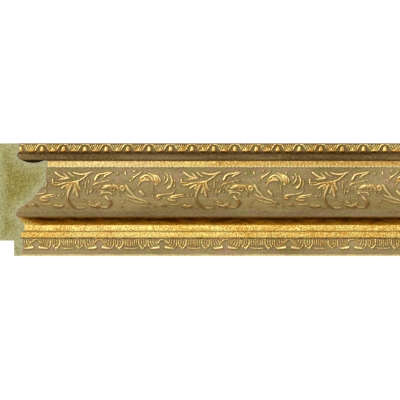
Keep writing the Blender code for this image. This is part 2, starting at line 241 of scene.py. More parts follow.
BIG_LEAF = (
    ("blade", 1.4, (52.8, 22.9), (50.9, 22.2), (50.4, 20.4), (51.4, 18.7), (54, 17.5)),
    ("bed", 4.4, (55.6, 20.4), (62.4, 18.9), (69.4, 18.6), (76.2, 19.4), (80.4, 22)),
    ("blade", 1.4, (51.6, 23), (57.7, 22.9)),
    ("blade", 3.4, (53.6, 20.4), (57.6, 18.7), (61.7, 17.5), (64.3, 17.6)),
    ("blade", 1.8, (62.4, 17.4), (67.3, 17.4), (69.5, 19.2), (70.8, 22.3), (72.2, 23.6)),
    ("blade", 1.2, (67.8, 23.2), (70.2, 24.6), (71.3, 26.3), (71.7, 28.2)),
    ("blade", 1.6, (52.9, 27.6), (53.4, 25.4), (56.3, 24.5)),
    ("drop", 2.0, (55.8, 24.6), (59.6, 24.3), (63.2, 25.2), (64, 27.2)),
    ("worn_and_shaded", 2.0, (59, 30.6), (61.8, 32.8), (63.2, 34.9), (62.2, 37.2), (59.4, 39.4)),
    ("blade", 3.1, (57, 28), (59.4, 30.2), (61.6, 31.9)),
    ("blade", 1.5, (61.2, 38.9), (57.1, 39.3), (51.6, 38.9)),
    ("worn_and_shaded", 1.7, (53, 38.6), (48.2, 39.1), (43, 38.4)),
    ("blade", 1.9, (53.4, 37.2), (47.9, 38), (43.8, 37.3), (39.8, 36.1)),
    ("blade", 1.9, (53.3, 34.1), (50.5, 36.1), (46.5, 37.6)),
    ("blade", 1.5, (39.7, 33.7), (42.3, 34.3), (45.7, 34.6)),
    ("drop", 1.4, (41, 32.4), (42.9, 32.8)),
    ("blade", 0.9, (68.8, 4.8), (70.6, 6.7)),
    ("blade", 0.9, (70.8, 4.7), (68.6, 6.6)),
    ("drop", 1.1, (72.9, 3.3), (73.5, 4.4)),
    ("drop", 1.9, (77.3, 2.9), (78, 7.1)),
    ("tail", 1.5, (75.2, 22.2), (74.8, 25.2)),
    ("tail", 3.4, (77.4, 16.6), (79.6, 19.2), (80.8, 22), (84, 25), (86.6, 28.4), (91.6, 31.2)),
    ("worn_and_shaded", 2.0, (95.4, 33.4), (99.4, 34.7), (102.6, 36.2)),
    ("blade", 2.0, (86, 29.4), (91.2, 31), (95.8, 32.5), (99.9, 34.4), (102, 35.9)),
    ("blade", 1.9, (77.6, 25.8), (82, 28.2), (88.4, 30.4)),
    ("blade", 1.7, (78.6, 31.1), (84, 32.5), (88.6, 33.8), (94.8, 34.8), (99.6, 35.7)),
    ("blade", 1.2, (73.8, 34.5), (76.4, 32.6)),
    ("drop", 1.7, (72.2, 36.9), (74.6, 39)),
    ("blade", 1.3, (94.6, 37.5), (99.6, 38.4)),
)
VOLUTE = (
    ("blade", 1.9, (84.9, 4), (88.6, 2.3)),
    ("blade", 1.9, (94.6, 2.6), (91.2, 6), (88.1, 8), (85.8, 9.8), (83.8, 12.4)),
    ("drop", 1.9, (84.9, 7.6), (86, 9.9)),
    ("drop", 1.8, (81.8, 10.8), (83, 13.9)),
    ("worn_and_shaded", 2.2, (90.2, 15), (92.4, 12.6), (95.4, 10.6)),
    ("blade", 2.7, (91.8, 11.2), (94.8, 9), (97.8, 7.5), (100.4, 7.8), (102.9, 9.6), (104.6, 13)),
    ("drop", 2.7, (90, 18.8), (90.9, 16.2), (93.2, 13.6), (96.3, 12.3), (99.3, 12.2), (102.3, 12.8)),
    ("blade", 1.5, (95.6, 10.8), (98.8, 10.2), (101.2, 11)),
    ("blade", 1.9, (99.6, 5.2), (103.4, 6.4), (106, 9), (106.8, 12.4), (106.4, 15)),
    ("bed", 3.0, (93.6, 11.4), (98, 10.4), (102.6, 11.6)),
    ("bed", 7.6, (102.4, 6.4), (107.6, 9.6), (109.2, 13), (108.6, 16.4)),
    ("blade", 1.2, (101, 7), (103.8, 9.4), (105.2, 12.6), (105.4, 14.8)),
    ("blade", 1.5, (103, 5.4), (106.6, 8.6), (107.9, 12.4), (107.8, 16)),
    ("blade", 1.5, (104.8, 6), (108.6, 9.2), (110, 12.4), (109.8, 16)),
    ("blade", 1.8, (106.6, 6.6), (110.6, 9.4), (112.4, 12.6), (111.8, 15.8)),
    ("drop", 2.4, (106.4, 16), (109.4, 17)),
    ("drop", 2.7, (108.8, 5), (110.6, 5.3)),
    ("drop", 1.2, (113.4, 3.8), (113.8, 4.6)),
    ("blade", 1.9, (116.4, 7.6), (116.8, 11.5)),
    ("drop", 1.9, (118.4, 5.4), (119.9, 9), (119.5, 12.3), (116.4, 16.2)),
    ("drop", 3.2, (122.2, 7.2), (123.8, 11.1), (124.1, 14.1), (122.8, 17.7), (118.9, 20.8)),
    ("drop", 1.9, (126.5, 11.8), (127, 15.7), (125.7, 19)),
    ("blade", 1.4, (127.4, 21.4), (125.4, 24.3), (121.8, 25.6), (117.7, 26.1), (112.6, 26.8)),
    ("worn_and_shaded", 2.0, (112.2, 28), (112.2, 29.4), (110.2, 30.6), (107.6, 30.4)),
    ("drop", 2.6, (114.6, 26.7), (110.9, 27.2), (108.4, 29)),
    ("blade", 1.5, (104.4, 17.2), (104.2, 19.8), (105.4, 23.1)),
    ("blade", 1.2, (104.3, 26.1), (105.1, 29.3)),
    ("worn_and_shaded", 1.8, (94, 26), (96, 27.8), (97.4, 28.2)),
    ("blade", 3.2, (91.2, 22.6), (93.8, 24.6), (96.2, 27)),
    ("drop", 1.5, (98.5, 27), (99.6, 27.4)),
    ("drop", 1.4, (105.5, 34.3), (106.6, 34.7)),
    ("worn_and_shaded", 1.6, (105.8, 37.8), (108, 38)),
    ("drop", 2.3, (111.8, 37.4), (114.9, 35.7)),
    ("worn_and_shaded", 1.9, (114.4, 36.4), (118.2, 38.2)),
)
TRAILING_LEAF = (
    ("blade", 1.6, (120.6, 29.8), (124.5, 28.3), (129.5, 27.2), (136.2, 26)),
    ("blade", 1.5, (119.6, 31), (123, 29.7), (127, 29.4), (130.6, 29.8)),
    ("blade", 1.1, (129.8, 28.8), (133.9, 28.2), (137.4, 28)),
    ("worn_and_shaded", 1.2, (121, 33), (125.4, 33.4), (128.2, 33)),
    ("blade", 1.8, (118.9, 31), (122, 31.9), (125.4, 32.4), (128.8, 32.4)),
    ("blade", 1.0, (121, 36.4), (128.3, 36.4), (132.2, 35.7)),
    ("drop", 1.2, (137.2, 25), (138, 25.6)),
    ("blade", 1.4, (138, 26.4), (139.7, 28.2), (141.4, 25.2)),
    ("blade", 1.4, (142.1, 29.7), (143.2, 27.4), (144.8, 24.8)),
    ("worn_and_shaded", 1.2, (134.4, 38.9), (139.8, 39.2), (143.4, 38.5)),
    ("blade", 1.5, (133.6, 37.5), (137.3, 37.5), (140.4, 38.2), (143, 37.6), (144.4, 37.7)),
    ("drop", 1.3, (147.5, 39.5), (148.3, 39.7)),
)

# Small turned rings in the scroll: centre, radius and width, in grid steps
RINGS = (((74.4, 20), 1.9, 1.9), ((64.9, 20.4), 2.2, 1.0))

# One berry of the outer band and the leaf between two of them: shape, width, rise, then along
# from the middle and down from the outer edge, in millimetres
BERRY = (
    ("drop", 3.6, 0.4, (-0.7, 4.7), (0.7, 4.7)),
    ("tail", 3.5, 0.5, (0, 5.3), (0, 1.8)),
)
FOOT_LEAF = (
    ("blade", 1.9, 0.45, (-2.5, 4.6), (2.5, 4.6)),
    ("tail", 2.2, 0.4, (0, 4.7), (0, 2.4)),
    ("drop", 0.9, 0.34, (0, 2.3), (0, 0.6)),
)

# The arch over the berry, from its crown down one leg, and the lines beside it, from the foot of
# the valley between two arches up and out: the same shape, width, rise and places
ARCH_SIDE = (
    ("blade", 1.25, 0.42, (0, 0.85), (1.6, 0.95), (2.5, 1.5), (3.3, 2.8), (4.3, 4.7)),
    ("blade", 0.76, 0.34, (5.5, 4.2), (4.5, 2.4), (3.5, 0.7)),
    ("blade", 0.76, 0.34, (6.2, 3.6), (5.6, 2.1), (4.9, 0.8)),
)

# Half of one keyhole of the lower band: shape, width, then along and down, in millimetres
KEYHOLE_SIDE = (
    ("tail", 0.95, (0, 0.55), (1.3, 0.85), (2.1, 1.7), (2.7, 2.5), (3.2, 2.0), (3.3, 0.9)),
    ("blade", 0.55, (4.5, 0.1), (4.2, 2.1), (3.0, 3.8), (1.7, 5.0)),
    ("drop", 2.2, (7.2, 5.85), (4.4, 5.6), (1.3, 5.1)),
    ("blade", 0.6, (3.2, 5.0), (5.2, 3.3), (5.9, 0.1)),
    ("blade", 0.6, (4.9, 5.2), (6.7, 3.6), (7.3, 0.1)),
    ("blade", 0.75, (6.8, 5.7), (8.4, 4.1), (8.7, 0.1)),
    ("blade", 0.6, (9.8, 0.1), (9.75, 3.2), (10.4, 5.0)),
    ("blade", 0.6, (10.4, 5.0), (11.1, 3.2), (11.2, 0.1)),
    ("drop", 1.1, (10.4, 3.8), (10.4, 5.0)),
    ("blade", 0.55, (12.4, 0.1), (12.6, 2.6), (12.1, 4.6)),
    ("tail", 1.2, (12.0, 6.0), (13.3, 4.6), (14.2, 3.0), (14.1, 0.1)),
    ("drop", 1.1, (10.9, 5.0), (12.1, 6.0)),
    ("blade", 0.55, (15.5, 0.1), (15.6, 4.5)),
    ("blade", 0.55, (16.7, 0.1), (16.7, 4.6)),
    ("blade", 0.55, (17.8, 0.1), (17.8, 4.7)),
    ("tail", 1.1, (18.95, 5.8), (16.8, 5.8), (14.9, 5.5)),
)
KEYHOLE_MIDDLE = ("blade", 0.65, (18.95, 0.1), (18.95, 5.0))

# Quirks between the members, darkened with painted shade: place across, reach and strength
QUIRKS = ((BAND_EDGE + 1.0, 0.55, 0.85), (42.1, 1.3, 0.4), (PANEL_END + 0.4, 0.6, 0.5))
# How much the paint is lightened, where it is dusted pale and, on the slope that faces away from the
# light, with painted light: place across, then strength
DUST_AND_LIGHT = np.array((
    (0.0, 0.2), (PANEL_START, 0.1), (PANEL_START + 9.0, 0.2), (PANEL_START + 11.0, 0.75),
    (PANEL_START + 12.7, 0.95), (PANEL_START + 14.5, 0.55), (PANEL_START + 17.0, 0.6),
    (PANEL_START + 18.7, 1.1), (PANEL_START + 20.0, 1.7), (PANEL_START + 21.7, 2.0),
    (PANEL_START + 23.0, 2.0), (PANEL_START + 24.2, 1.2), (PANEL_START + 25.5, 0.5),
    (PANEL_START + 28.0, 0.0), (BEAD_START, 0.0), (LOWER_BAND_START, 0.1), (WIDTH, 0.1),
))
# Short cracks across the gilding: along from the middle, then across from and to
CRACKS = (
    (13.6, 10.6, 14.0), (10.8, 47.4, 52.0), (44.7, 53.2, 56.8), (-66.3, 52.3, 53.1), (72.4, 10.8, 12.6))

# Where the finish changes, from and to across the face
SPANS = {
    "band": (0.0, BAND_EDGE),
    "channel": (BAND_EDGE + 0.2, CREST_EDGE + 0.3),
    "crest": (CREST_EDGE + 0.3, PANEL_START - 0.2),
    "top leaves": (PANEL_START + 2.0, PANEL_START + 7.0),
    "shoulder": (PANEL_START + 9.0, PANEL_START + 13.0),
    "slope": (PANEL_START + 11.0, PANEL_CARVED_END),
    "cove": (PANEL_END + 0.2, BEAD_START),
    "beads": (PANEL_END + 1.0, GROOVE_START + 0.5),
    "fillet": (FILLET_START, GROOVE_START + 0.5),
    "bead line": (BEAD_END, FILLET_START),
    "groove line": (GROOVE_START + 0.2, GROOVE_START + 0.5),
    "sight edge": (WIDTH - 1.0, WIDTH),
}
# How widely a mark fades out at its edges, in millimetres
HARD = 0.1
CRISP = 0.2
SOFT = 0.3

# The gilding: the relief where it begins and is full, the bare outer edge, and how much of it the
# plain members and the brown strokes, which are also painted shade, have gained or lost
GILT_RELIEF = (0.03, 0.3)
BARE_EDGE = (0.2, 0.45)
CREST_LOSS = 0.22
BAND_FOOT_GILT = 0.55
WORN_AND_SHADED_LOSS = 0.2
# How far the crevice darkening reaches beside a stroke, and how strong it is there and elsewhere:
# painted shade beside the strokes, strongest on the side away from the light, and umber patina in
# the cracks and under lost gilding
CREVICE_REACH = 0.42
CREVICE_RELIEF = 0.1
CREVICE_TO_LIGHT = 0.3
CREVICE_TO_LEE = 0.7
CREVICE_ON_SLOPE = 0.4
CREVICE_IN_CRACK = 2.5
CREVICE_UNDER_WORN_AND_SHADED = 0.7
CREVICE_UNDER_GILT = 0.6
CREVICE_ON_BAND = 0.28
CREVICE_LOST_AT_SIGHT = 0.7
LEAST_CRACK = 0.03
# The wedge of painted shadow and dark reflection in the cove: its reach at the sharp end and how
# fast it widens from there
WEDGE_START = 0.06
WEDGE_SPREAD = 0.092
WEDGE_LEAST = 0.1
WEDGE_RISE = (0.05, 0.25)
WEDGE_FALL = (1.03, 0.97)
WEDGE_THINNING = 0.62
WEDGE_POWER = 1.9
# Painted shade in the fine lines and on the channel's lip, the near-black painted shadow on the wall
# behind it, and the brown painted shadow on the outer band and along its edge
LINE_SHADOW = 0.32
LIP_SHADOW = 0.7
UNDERCUT_SHADOW = 0.95
BAND_SHADOW = 0.12
OUTER_SHADOW = (0.6, 0.35)
# Heights above the channel's floor where the painted shade of its lip and the painted shadow of its
# wall begin and are full
LIP_HEIGHTS = (1.9, 3.0)
UNDERCUT_SHADOW_HEIGHTS = (1.8, 3.0)
# How bright the painted highlights are on the edges and on the high strokes, whose tops are also rubbed
CREST_EDGE_SHINE = 3.0
SIGHT_EDGE_SHINE = 2.0
TOP_LEAF_SHINE = 0.9
SLOPE_SHINE = 1.3
BAND_DULLNESS = 0.3
# The relief and the side tone between which the top of a stroke begins to take its painted highlight
TOP_RELIEF = (0.3, 0.6)
TOP_FLANK = (0.5, 0.15)
# How far the undercoat shows through thinned gilding, with painted shade in the fine lines, on the
# brown strokes and on the strokes' sides away from the light
FILLET_THIN = 0.12
SLOPE_THIN = 0.12
CREST_THIN = 0.2
LINE_GILT_SHADE = 0.4
WORN_AND_SHADED_THIN = 0.6
THIN_FLANK = (0.2, 0.75)
# Along the strip the gilding is palest at one place and deepens towards the square end
PALE_PLACE = -40.0
PALE_FROM = PALE_PLACE - 40.0
PALE_TO = PALE_PLACE + 20.0
PALE_FADE = 30.0
DEEP_END = HALF + 25.0
DEEP_LEAF = 0.35
DEEP_CREST = 1.2
PALE_LEAF = 0.3
PALE_CREST = 0.9
PALE_WEIGHT = 0.5


# The section of the strip

def extend_bow(path, across, height, bow, steps):
    """Add a bowed member. A positive bow swells out of the face, a negative one hollows it."""
    start_across, start_height = path[-1]
    run = across - start_across
    climb = height - start_height
    chord = math.hypot(run, climb)
    for step in range(1, steps + 1):
        part = step / steps
        swell = 4.0 * bow * part * (1.0 - part)
        path.append((
            start_across + run * part - climb / chord * swell,
            start_height + climb * part + run / chord * swell,
        ))


def face_section():
    """The face from the outer edge to the sight edge, member by member."""
    path = [(0.0, BAND_TOP)]
    for across, height, *bowed in MEMBERS:
        if bowed:
            extend_bow(path, across, height, *bowed)
        else:
            path.append((across, height))
    return soften(np.array(path))


def soften(path):
    """Ease the corners between the members, each by three points of a curve that the corner pulls."""
    eased = [path[0]]
    for before, corner, after in zip(path, path[1:], path[2:]):
        towards = before - corner
        onwards = after - corner
        longest = CORNER_SHARE * min(np.linalg.norm(towards), np.linalg.norm(onwards))
        reach = min(CORNER_RADIUS, longest)
        towards = towards / np.linalg.norm(towards)
        onwards = onwards / np.linalg.norm(onwards)
        if towards @ onwards < NEARLY_STRAIGHT:
            eased.append(corner)
        else:
            eased.append(corner + reach * towards)
            eased.append(corner + 0.25 * reach * (towards + onwards))
            eased.append(corner + reach * onwards)
    eased.append(path[-1])
    return np.array(eased)


class Face:
    """The face rolled out flat: distance along the section's girth instead of across."""

    def __init__(self, section):
        self.section = section
        steps = np.hypot(*np.diff(section, axis=0).T)
        self.girth = np.concatenate(([0.0], np.cumsum(steps)))
        slopes = np.diff(section, axis=0) / steps[:, None]
        normals = np.stack((-slopes[:, 1], slopes[:, 0]), axis=1)
        corners = np.vstack((normals[:1], normals[:-1] + normals[1:], normals[-1:]))
        self.normals = corners / np.linalg.norm(corners, axis=1)[:, None]

    def girth_at(self, across):
        """Girth of a place on the bands or the panel, which the hollow doesn't undercut."""
        distance, height = self.section.T
        hollow = (distance > CREST_EDGE) & (height < CREST_BACK) & (distance < PANEL_START)
        outer = distance < CHANNEL_MIDDLE
        inner = (distance > CREST_EDGE) & ~hollow
        near_outer = np.interp(across, distance[outer], self.girth[outer])
        near_inner = np.interp(across, distance[inner], self.girth[inner])
        return np.where(np.asarray(across) < CREST_EDGE, near_outer, near_inner)

    def place(self, girth):
        """Distance across, height, and the normal's two parts at each girth."""
        values = (self.section[:, 0], self.section[:, 1], self.normals[:, 0], self.normals[:, 1])
        return [np.interp(girth, self.girth, column) for column in values]


# The strokes of the ornament

def smooth_line(knots, steps=8):
    """A curve through the knots, straight where there are only two."""
    if len(knots) == 2:
        return knots
    padded = np.vstack((2 * knots[0] - knots[1], knots, 2 * knots[-1] - knots[-2]))
    points = [knots[0]]
    for index in range(1, len(padded) - 2):
        before, start, end, after = padded[index - 1:index + 3]
        for step in range(1, steps + 1):
            part = step / steps
            points.append(0.5 * (
                2 * start + (end - before) * part
                + (2 * before - 5 * start + 4 * end - after) * part**2
                + (3 * start - before - 3 * end + after) * part**3
            ))
    return np.array(points)


class Stroke:
    """A rounded ridge along a smooth centre line, in millimetres along and across."""

    def __init__(self, shape, width, knots, rise=None):
        self.shape = shape
        self.width = width
        self.line = smooth_line(np.array(knots, dtype=float))
        self.rise = rise if rise else LEAST_RISE + RISE_PER_WIDTH * width
        if shape == "bed":
            self.rise = BED_RISE
        steps = np.hypot(*np.diff(self.line, axis=0).T)
        self.travel = np.concatenate(([0.0], np.cumsum(steps)))

    def fullness(self, part):
        """How full the stroke is along its length, from 0 at a tip to 1."""
        part = np.clip(part, 0.0, 1.0)
        if self.shape == "ring":
            return np.ones_like(part)
        if self.shape in ("blade", "worn_and_shaded", "bed"):
            return np.sqrt(np.sin(np.pi * part))
        if self.shape == "drop":
            part = 1.0 - part
        start = np.sqrt(1.0 - (1.0 - np.minimum(part / ROUND_START, 1.0)) ** 2)
        finish = np.sqrt(1.0 - (1.0 - np.minimum((1.0 - part) / ROUND_FINISH, 1.0)) ** 2)
        return start * finish * (1.0 - TAPER * part)

    def half_width(self, part):
        return 0.5 * (TIP_WIDTH + (self.width - TIP_WIDTH) * self.fullness(part))

    def samples(self):
        """Points over the stroke, in lines along it from its centre out to its edges."""
        count = max(FEWEST_STEPS, round(self.travel[-1] / STROKE_STEP) + 1)
        parts = np.linspace(0.0, 1.0, count)
        along = parts * self.travel[-1]
        centre = np.stack([np.interp(along, self.travel, axis) for axis in self.line.T], axis=1)
        ways = np.gradient(centre, axis=0)
        ways /= np.linalg.norm(ways, axis=1)[:, None] + 1e-9
        sideways = np.stack((-ways[:, 1], ways[:, 0]), axis=1) * self.half_width(parts)[:, None]
        lines = [centre]
        for share in WIDE_SPREAD if self.width > NARROW_STROKE else NARROW_SPREAD:
            lines += [centre + share * sideways, centre - share * sideways]
        return np.vstack(lines)

    def survey(self, points, found):
        """Lift the points under this stroke, and note how near and on which side of it each lies."""
        margin = 0.5 * self.width + SURVEY_MARGIN
        low = self.line.min(axis=0) - margin
        high = self.line.max(axis=0) + margin
        near = np.flatnonzero(((points >= low) & (points <= high)).all(axis=1))
        if near.size == 0:
            return
        spans = np.diff(self.line, axis=0)
        lengths = np.linalg.norm(spans, axis=1)
        offset = points[near][:, None, :] - self.line[:-1][None]
        share = np.clip((offset * spans).sum(axis=2) / lengths**2, 0.0, 1.0)
        gap = np.linalg.norm(offset - share[..., None] * spans, axis=2)
        closest = gap.argmin(axis=1)
        rows = np.arange(near.size)
        gap = gap[rows, closest]
        travel = self.travel[closest] + share[rows, closest] * lengths[closest]
        part = travel / self.travel[-1]
        half = self.half_width(part)
        ratio = np.clip(gap / half, 0.0, 1.0)
        lift = self.rise * (TIP_RISE + (1.0 - TIP_RISE) * self.fullness(part))
        lift *= (1.0 - ratio**TOP_POWER) ** FOOT_POWER
        away = offset[rows, closest] - share[rows, closest][:, None] * spans[closest]
        # Painted shade: the side of a stroke away from the light is toned darker, and so is the ground
        # beside it
        lee = np.maximum(away @ LEE_WAY, 0.0)
        flank = FOOT_TONE * ratio + LEE_TONE * lee / half
        if self.shape == "bed":
            flank = np.full(near.size, BED_TONE)
        higher = lift > found["relief"][near]
        found["relief"][near[higher]] = lift[higher]
        found["flank"][near[higher]] = flank[higher]
        found["worn_and_shaded"][near[higher]] = self.shape == "worn_and_shaded"
        nearer = gap - half < found["clearance"][near]
        found["clearance"][near[nearer]] = (gap - half)[nearer]
        found["lee"][near[nearer]] = (lee / (gap + 1e-6))[nearer]


def repeats(first, pitch):
    """The repeats' places along the strip, from beyond one end to beyond the other."""
    low = math.floor((-2.0 * HALF - first) / pitch)
    high = math.ceil((HALF - first) / pitch)
    return [first + pitch * index for index in range(low, high + 1)]


def scroll_strokes(origin):
    """The leaf scroll of one repeat of the panel, from where the repeat starts."""
    strokes = []
    for group in (LEAF_HEAD, FEATHERS, BIG_LEAF, VOLUTE, TRAILING_LEAF):
        for shape, width, *knots in group:
            places = [(origin + GRID * along, PANEL_START + GRID * down) for along, down in knots]
            strokes.append(Stroke(shape, width * GRID, places))
    turn = np.linspace(0.0, 2.0 * np.pi, RING_POINTS)
    for (along, down), radius, width in RINGS:
        circle = np.stack((
            origin + GRID * (along + radius * np.cos(turn)),
            PANEL_START + GRID * (down + radius * np.sin(turn)),
        ), axis=1)
        strokes.append(Stroke("ring", width * GRID, circle))
    return strokes


def arcade_strokes(centre):
    """One berry of the outer band, the leaf beside it, and the arch over it with its lines."""
    valley = centre + 0.5 * ARCADE_REPEAT
    arch = ((centre, -1, ARCH_SIDE), (centre, 1, ARCH_SIDE))
    groups = ((centre, 1, BERRY), (valley, 1, FOOT_LEAF), *arch)
    strokes = []
    for start, side, group in groups:
        for shape, width, rise, *knots in group:
            places = [(start + side * along, down) for along, down in knots]
            strokes.append(Stroke(shape, width, places, rise))
    return strokes


def keyhole_strokes(centre):
    """One keyhole of the lower band, the same to both sides, and the rod halfway to the next."""
    strokes = []
    for side, parts in ((-1, KEYHOLE_SIDE), (1, (*KEYHOLE_SIDE, KEYHOLE_MIDDLE))):
        for shape, width, *knots in parts:
            places = [(centre + side * along, LOWER_BAND_START + down) for along, down in knots]
            rise = KEYHOLE_LEAST_RISE + KEYHOLE_RISE_PER_WIDTH * width
            strokes.append(Stroke(shape, width, places, rise))
    return strokes


def ornament():
    """Every stroke that touches the strip."""
    strokes = []
    for origin in repeats(-HALF + PANEL_FIRST, PANEL_REPEAT):
        strokes += scroll_strokes(origin)
    for centre in repeats(-HALF + ARCADE_FIRST, ARCADE_REPEAT):
        strokes += arcade_strokes(centre)
    for centre in repeats(-HALF + KEYHOLE_FIRST, KEYHOLE_REPEAT):
        strokes += keyhole_strokes(centre)
    return [
        stroke for stroke in strokes
        if stroke.line[:, 0].max() > -HALF and stroke.line[:, 0].min() < HALF
    ]


def smooth_step(low, high, value):
    """0 at low, 1 at high and eased between them, whichever of the two is larger."""
    part = np.clip((value - low) / (high - low), 0.0, 1.0)
    return part * part * (3.0 - 2.0 * part)


def between(value, low, high, feather):
    """1 between two limits, fading over the feather on both sides."""
    return smooth_step(low - feather, low + feather, value) * (
        1.0 - smooth_step(high - feather, high + feather, value))


class Carving:
    """The relief over the rolled-out face, and the marks that the finish follows."""

    def __init__(self, face, strokes):
        self.face = face
        self.strokes = strokes
        self.cracks = [
            Stroke("blade", CRACK_WIDTH, [(along, start), (along + CRACK_LEAN, end)], CRACK_DEPTH)
            for along, start, end in CRACKS
        ]

    def read(self, along, girth):
        """What the strokes and cracks do at each place, by name."""
        ground = np.stack((along, self.face.place(girth)[0]), axis=1)
        found = {name: np.zeros(len(along)) for name in ("relief", "flank", "lee", "worn_and_shaded")}
        found["clearance"] = np.full(len(along), FAR)
        for stroke in self.strokes:
            stroke.survey(ground, found)
        split = {name: np.zeros(len(along)) for name in found}
        for line in self.cracks:
            line.survey(ground, split)
        found["crack"] = split["relief"]
        low, high = self.face.girth_at(np.array(HIDDEN_STRETCH))
        hidden = (girth > low) & (girth < high)
        for name in found:
            found[name][hidden] = FAR if name == "clearance" else 0.0
        return found

    def place(self, girth, found):
        """Where the carved surface stands, across and above the back."""
        across, height, normal_across, normal_height = self.face.place(girth)
        lift = found["relief"] - found["crack"]
        return across + lift * normal_across, height + lift * normal_height


# The strip's mesh

def ground_points(face):
    """Points over the plain ground, closer together where the face is carved."""
    carved = [face.girth_at(np.array(limits)) for limits in CARVED_STRETCHES]
    points = []
    for low, high in zip(face.girth, face.girth[1:]):
        middle = 0.5 * (low + high)
        inside = any(start <= middle <= end for start, end in carved)
        rows = max(1, math.ceil((high - low) / (CARVED_STEP if inside else PLAIN_STEP)))
        stride = CARVED_STEP if inside else PLAIN_STRIDE
        columns = np.arange(-HALF, HALF, stride)
        for row in range(rows):
            girth = low + (high - low) * row / rows
            shift = 0.5 * stride * (row % 2)
            points.append(np.stack((columns + shift, np.full(len(columns), girth)), axis=1))
    return np.vstack(points)


def end_rim(face, carving, bevelled):
    """The face's edge at one end of the strip, following the carving through the cut."""
    extra = np.arange(0.0, face.girth[-1], RIM_STEP)
    girth = np.unique(np.round(np.concatenate((face.girth, extra)), 3))
    girth = girth[np.concatenate(([True], np.diff(girth) > LEAST_RIM_STEP))]
    girth[-1] = face.girth[-1]
    along = np.full(len(girth), HALF)
    if bevelled:
        along = face.place(girth)[1] - HALF
        for _ in range(CUT_ROUNDS):
            along = carving.place(girth, carving.read(along, girth))[1] - HALF
    return np.stack((along, girth), axis=1)


def keep_inside(points, face, left_rim, margin):
    """Leave out points that lie beyond the ends or too near the long edges."""
    edge = np.interp(points[:, 1], left_rim[:, 1], left_rim[:, 0])
    points = points[(points[:, 0] > edge + margin) & (points[:, 0] < HALF - margin)]
    return points[(points[:, 1] > EDGE_MARGIN) & (points[:, 1] < face.girth[-1] - EDGE_MARGIN)]


def edge_line(start, stride, girth):
    """Points along one long edge of the face, between its two rims."""
    columns = np.arange(start, HALF, stride)[1:]
    return np.stack((columns, np.full(len(columns), girth)), axis=1)


def closed_edges(count):
    return [(index, (index + 1) % count) for index in range(count)]


def triangulate_face(face, carving):
    """Triangles over the rolled-out face: the two rims, the strokes and the ground."""
    left = end_rim(face, carving, bevelled=True)
    right = end_rim(face, carving, bevelled=False)
    outer = edge_line(-HALF + BAND_TOP, CARVED_STEP, 0.0)
    sight = edge_line(-HALF + SIGHT_EDGE_TOP, PLAIN_STRIDE, face.girth[-1])
    outline = np.vstack((left, sight, right[::-1], outer[::-1]))
    raised = []
    for stroke in [*carving.strokes, *carving.cracks]:
        places = stroke.samples()
        places[:, 1] = face.girth_at(places[:, 1])
        raised.append(places)
    raised = keep_inside(np.vstack(raised), face, left, STROKE_MARGIN)
    ground = keep_inside(ground_points(face), face, left, GROUND_MARGIN)
    clearance = carving.read(ground[:, 0], ground[:, 1])["clearance"]
    points = np.vstack((outline, raised, ground[clearance > CLEAR_OF_STROKES]))
    vectors = [Vector(point) for point in points.tolist()]
    edges = closed_edges(len(outline))
    flat, _, triangles, *_ = delaunay_2d_cdt(vectors, edges, [], INSIDE_OUTLINE, MERGE_DISTANCE)
    return np.array([tuple(point) for point in flat]), triangles


def nearest_distance(points, line):
    """Distance of each point from an open line of points."""
    spans = np.diff(line, axis=0)
    offset = points[:, None, :] - line[:-1][None]
    lengths = np.maximum((spans**2).sum(axis=1), 1e-9)
    share = np.clip((offset * spans).sum(axis=2) / lengths, 0.0, 1.0)
    return np.linalg.norm(offset - share[..., None] * spans, axis=2).min(axis=1)


def waviness(along, girth):
    """A slow unevenness of the extruded and embossed face."""
    return np.array([
        sum(strength * noise.noise(Vector((run * x, rise * g, layer)))
            for strength, run, rise, layer in WAVES)
        for x, g in zip(along, girth)
    ])


class Solid:
    """The strip's points, faces and finishes, gathered part by part."""

    def __init__(self):
        self.verts = []
        self.faces = []
        self.slots = []
        self.coat = []
        self.depth = []

    def add_point(self, along, side, height, coat=0.0, depth=0.0):
        """Add a point, with its distance from the painted coat and its depth in the foam."""
        self.verts.append((along * MM, side * MM, height * MM))
        self.coat.append(coat)
        self.depth.append(depth)
        return len(self.verts) - 1

    def add_face(self, corners, slot):
        self.faces.append(tuple(corners))
        self.slots.append(slot)


def in_order(chosen, order):
    """The chosen points' numbers, sorted by the order's values."""
    indices = np.flatnonzero(chosen)
    return indices[np.argsort(order[indices])].tolist()


def add_carved_face(solid, face, carving):
    """Add the face, and give the points along its four edges and the marks for its finish."""
    flat, triangles = triangulate_face(face, carving)
    along, girth = flat[:, 0], flat[:, 1]
    found = carving.read(along, girth)
    across, height = carving.place(girth, found)
    left_edge = np.interp(girth, *end_rim(face, carving, bevelled=True).T[::-1])
    on_left = np.abs(along - left_edge) < ON_RIM
    on_right = np.abs(along - HALF) < ON_RIM
    along = np.where(on_left, height - HALF, along)
    sway = SWAY * waviness(along, girth)
    free = ~on_left & ~on_right & (girth > SWAY_MARGIN) & (girth < face.girth[-1] - SWAY_MARGIN)
    sway[~free | (height > THICKNESS - TOP_MARGIN)] = 0.0
    height = height + sway
    for x, out, up in zip(along, across, height):
        solid.add_point(x, 0.5 * WIDTH - out, up)
    for triangle in triangles:
        solid.add_face(triangle, PATINA)
    rims = {
        "outer": in_order(girth < ON_EDGE, along),
        "sight": in_order(girth > face.girth[-1] - ON_EDGE, along),
        "left": in_order(on_left, girth),
        "right": in_order(on_right, girth),
    }
    return rims, finish_marks(face, along, girth, height, found)


def back_section():
    """The sight edge's foot, the rabbet and the flat back, in order after the face."""
    shelf_start = WIDTH - RABBET_WIDTH
    return ((WIDTH, RABBET_DEPTH), (shelf_start, RABBET_DEPTH), (shelf_start, 0.0), (0.0, 0.0))


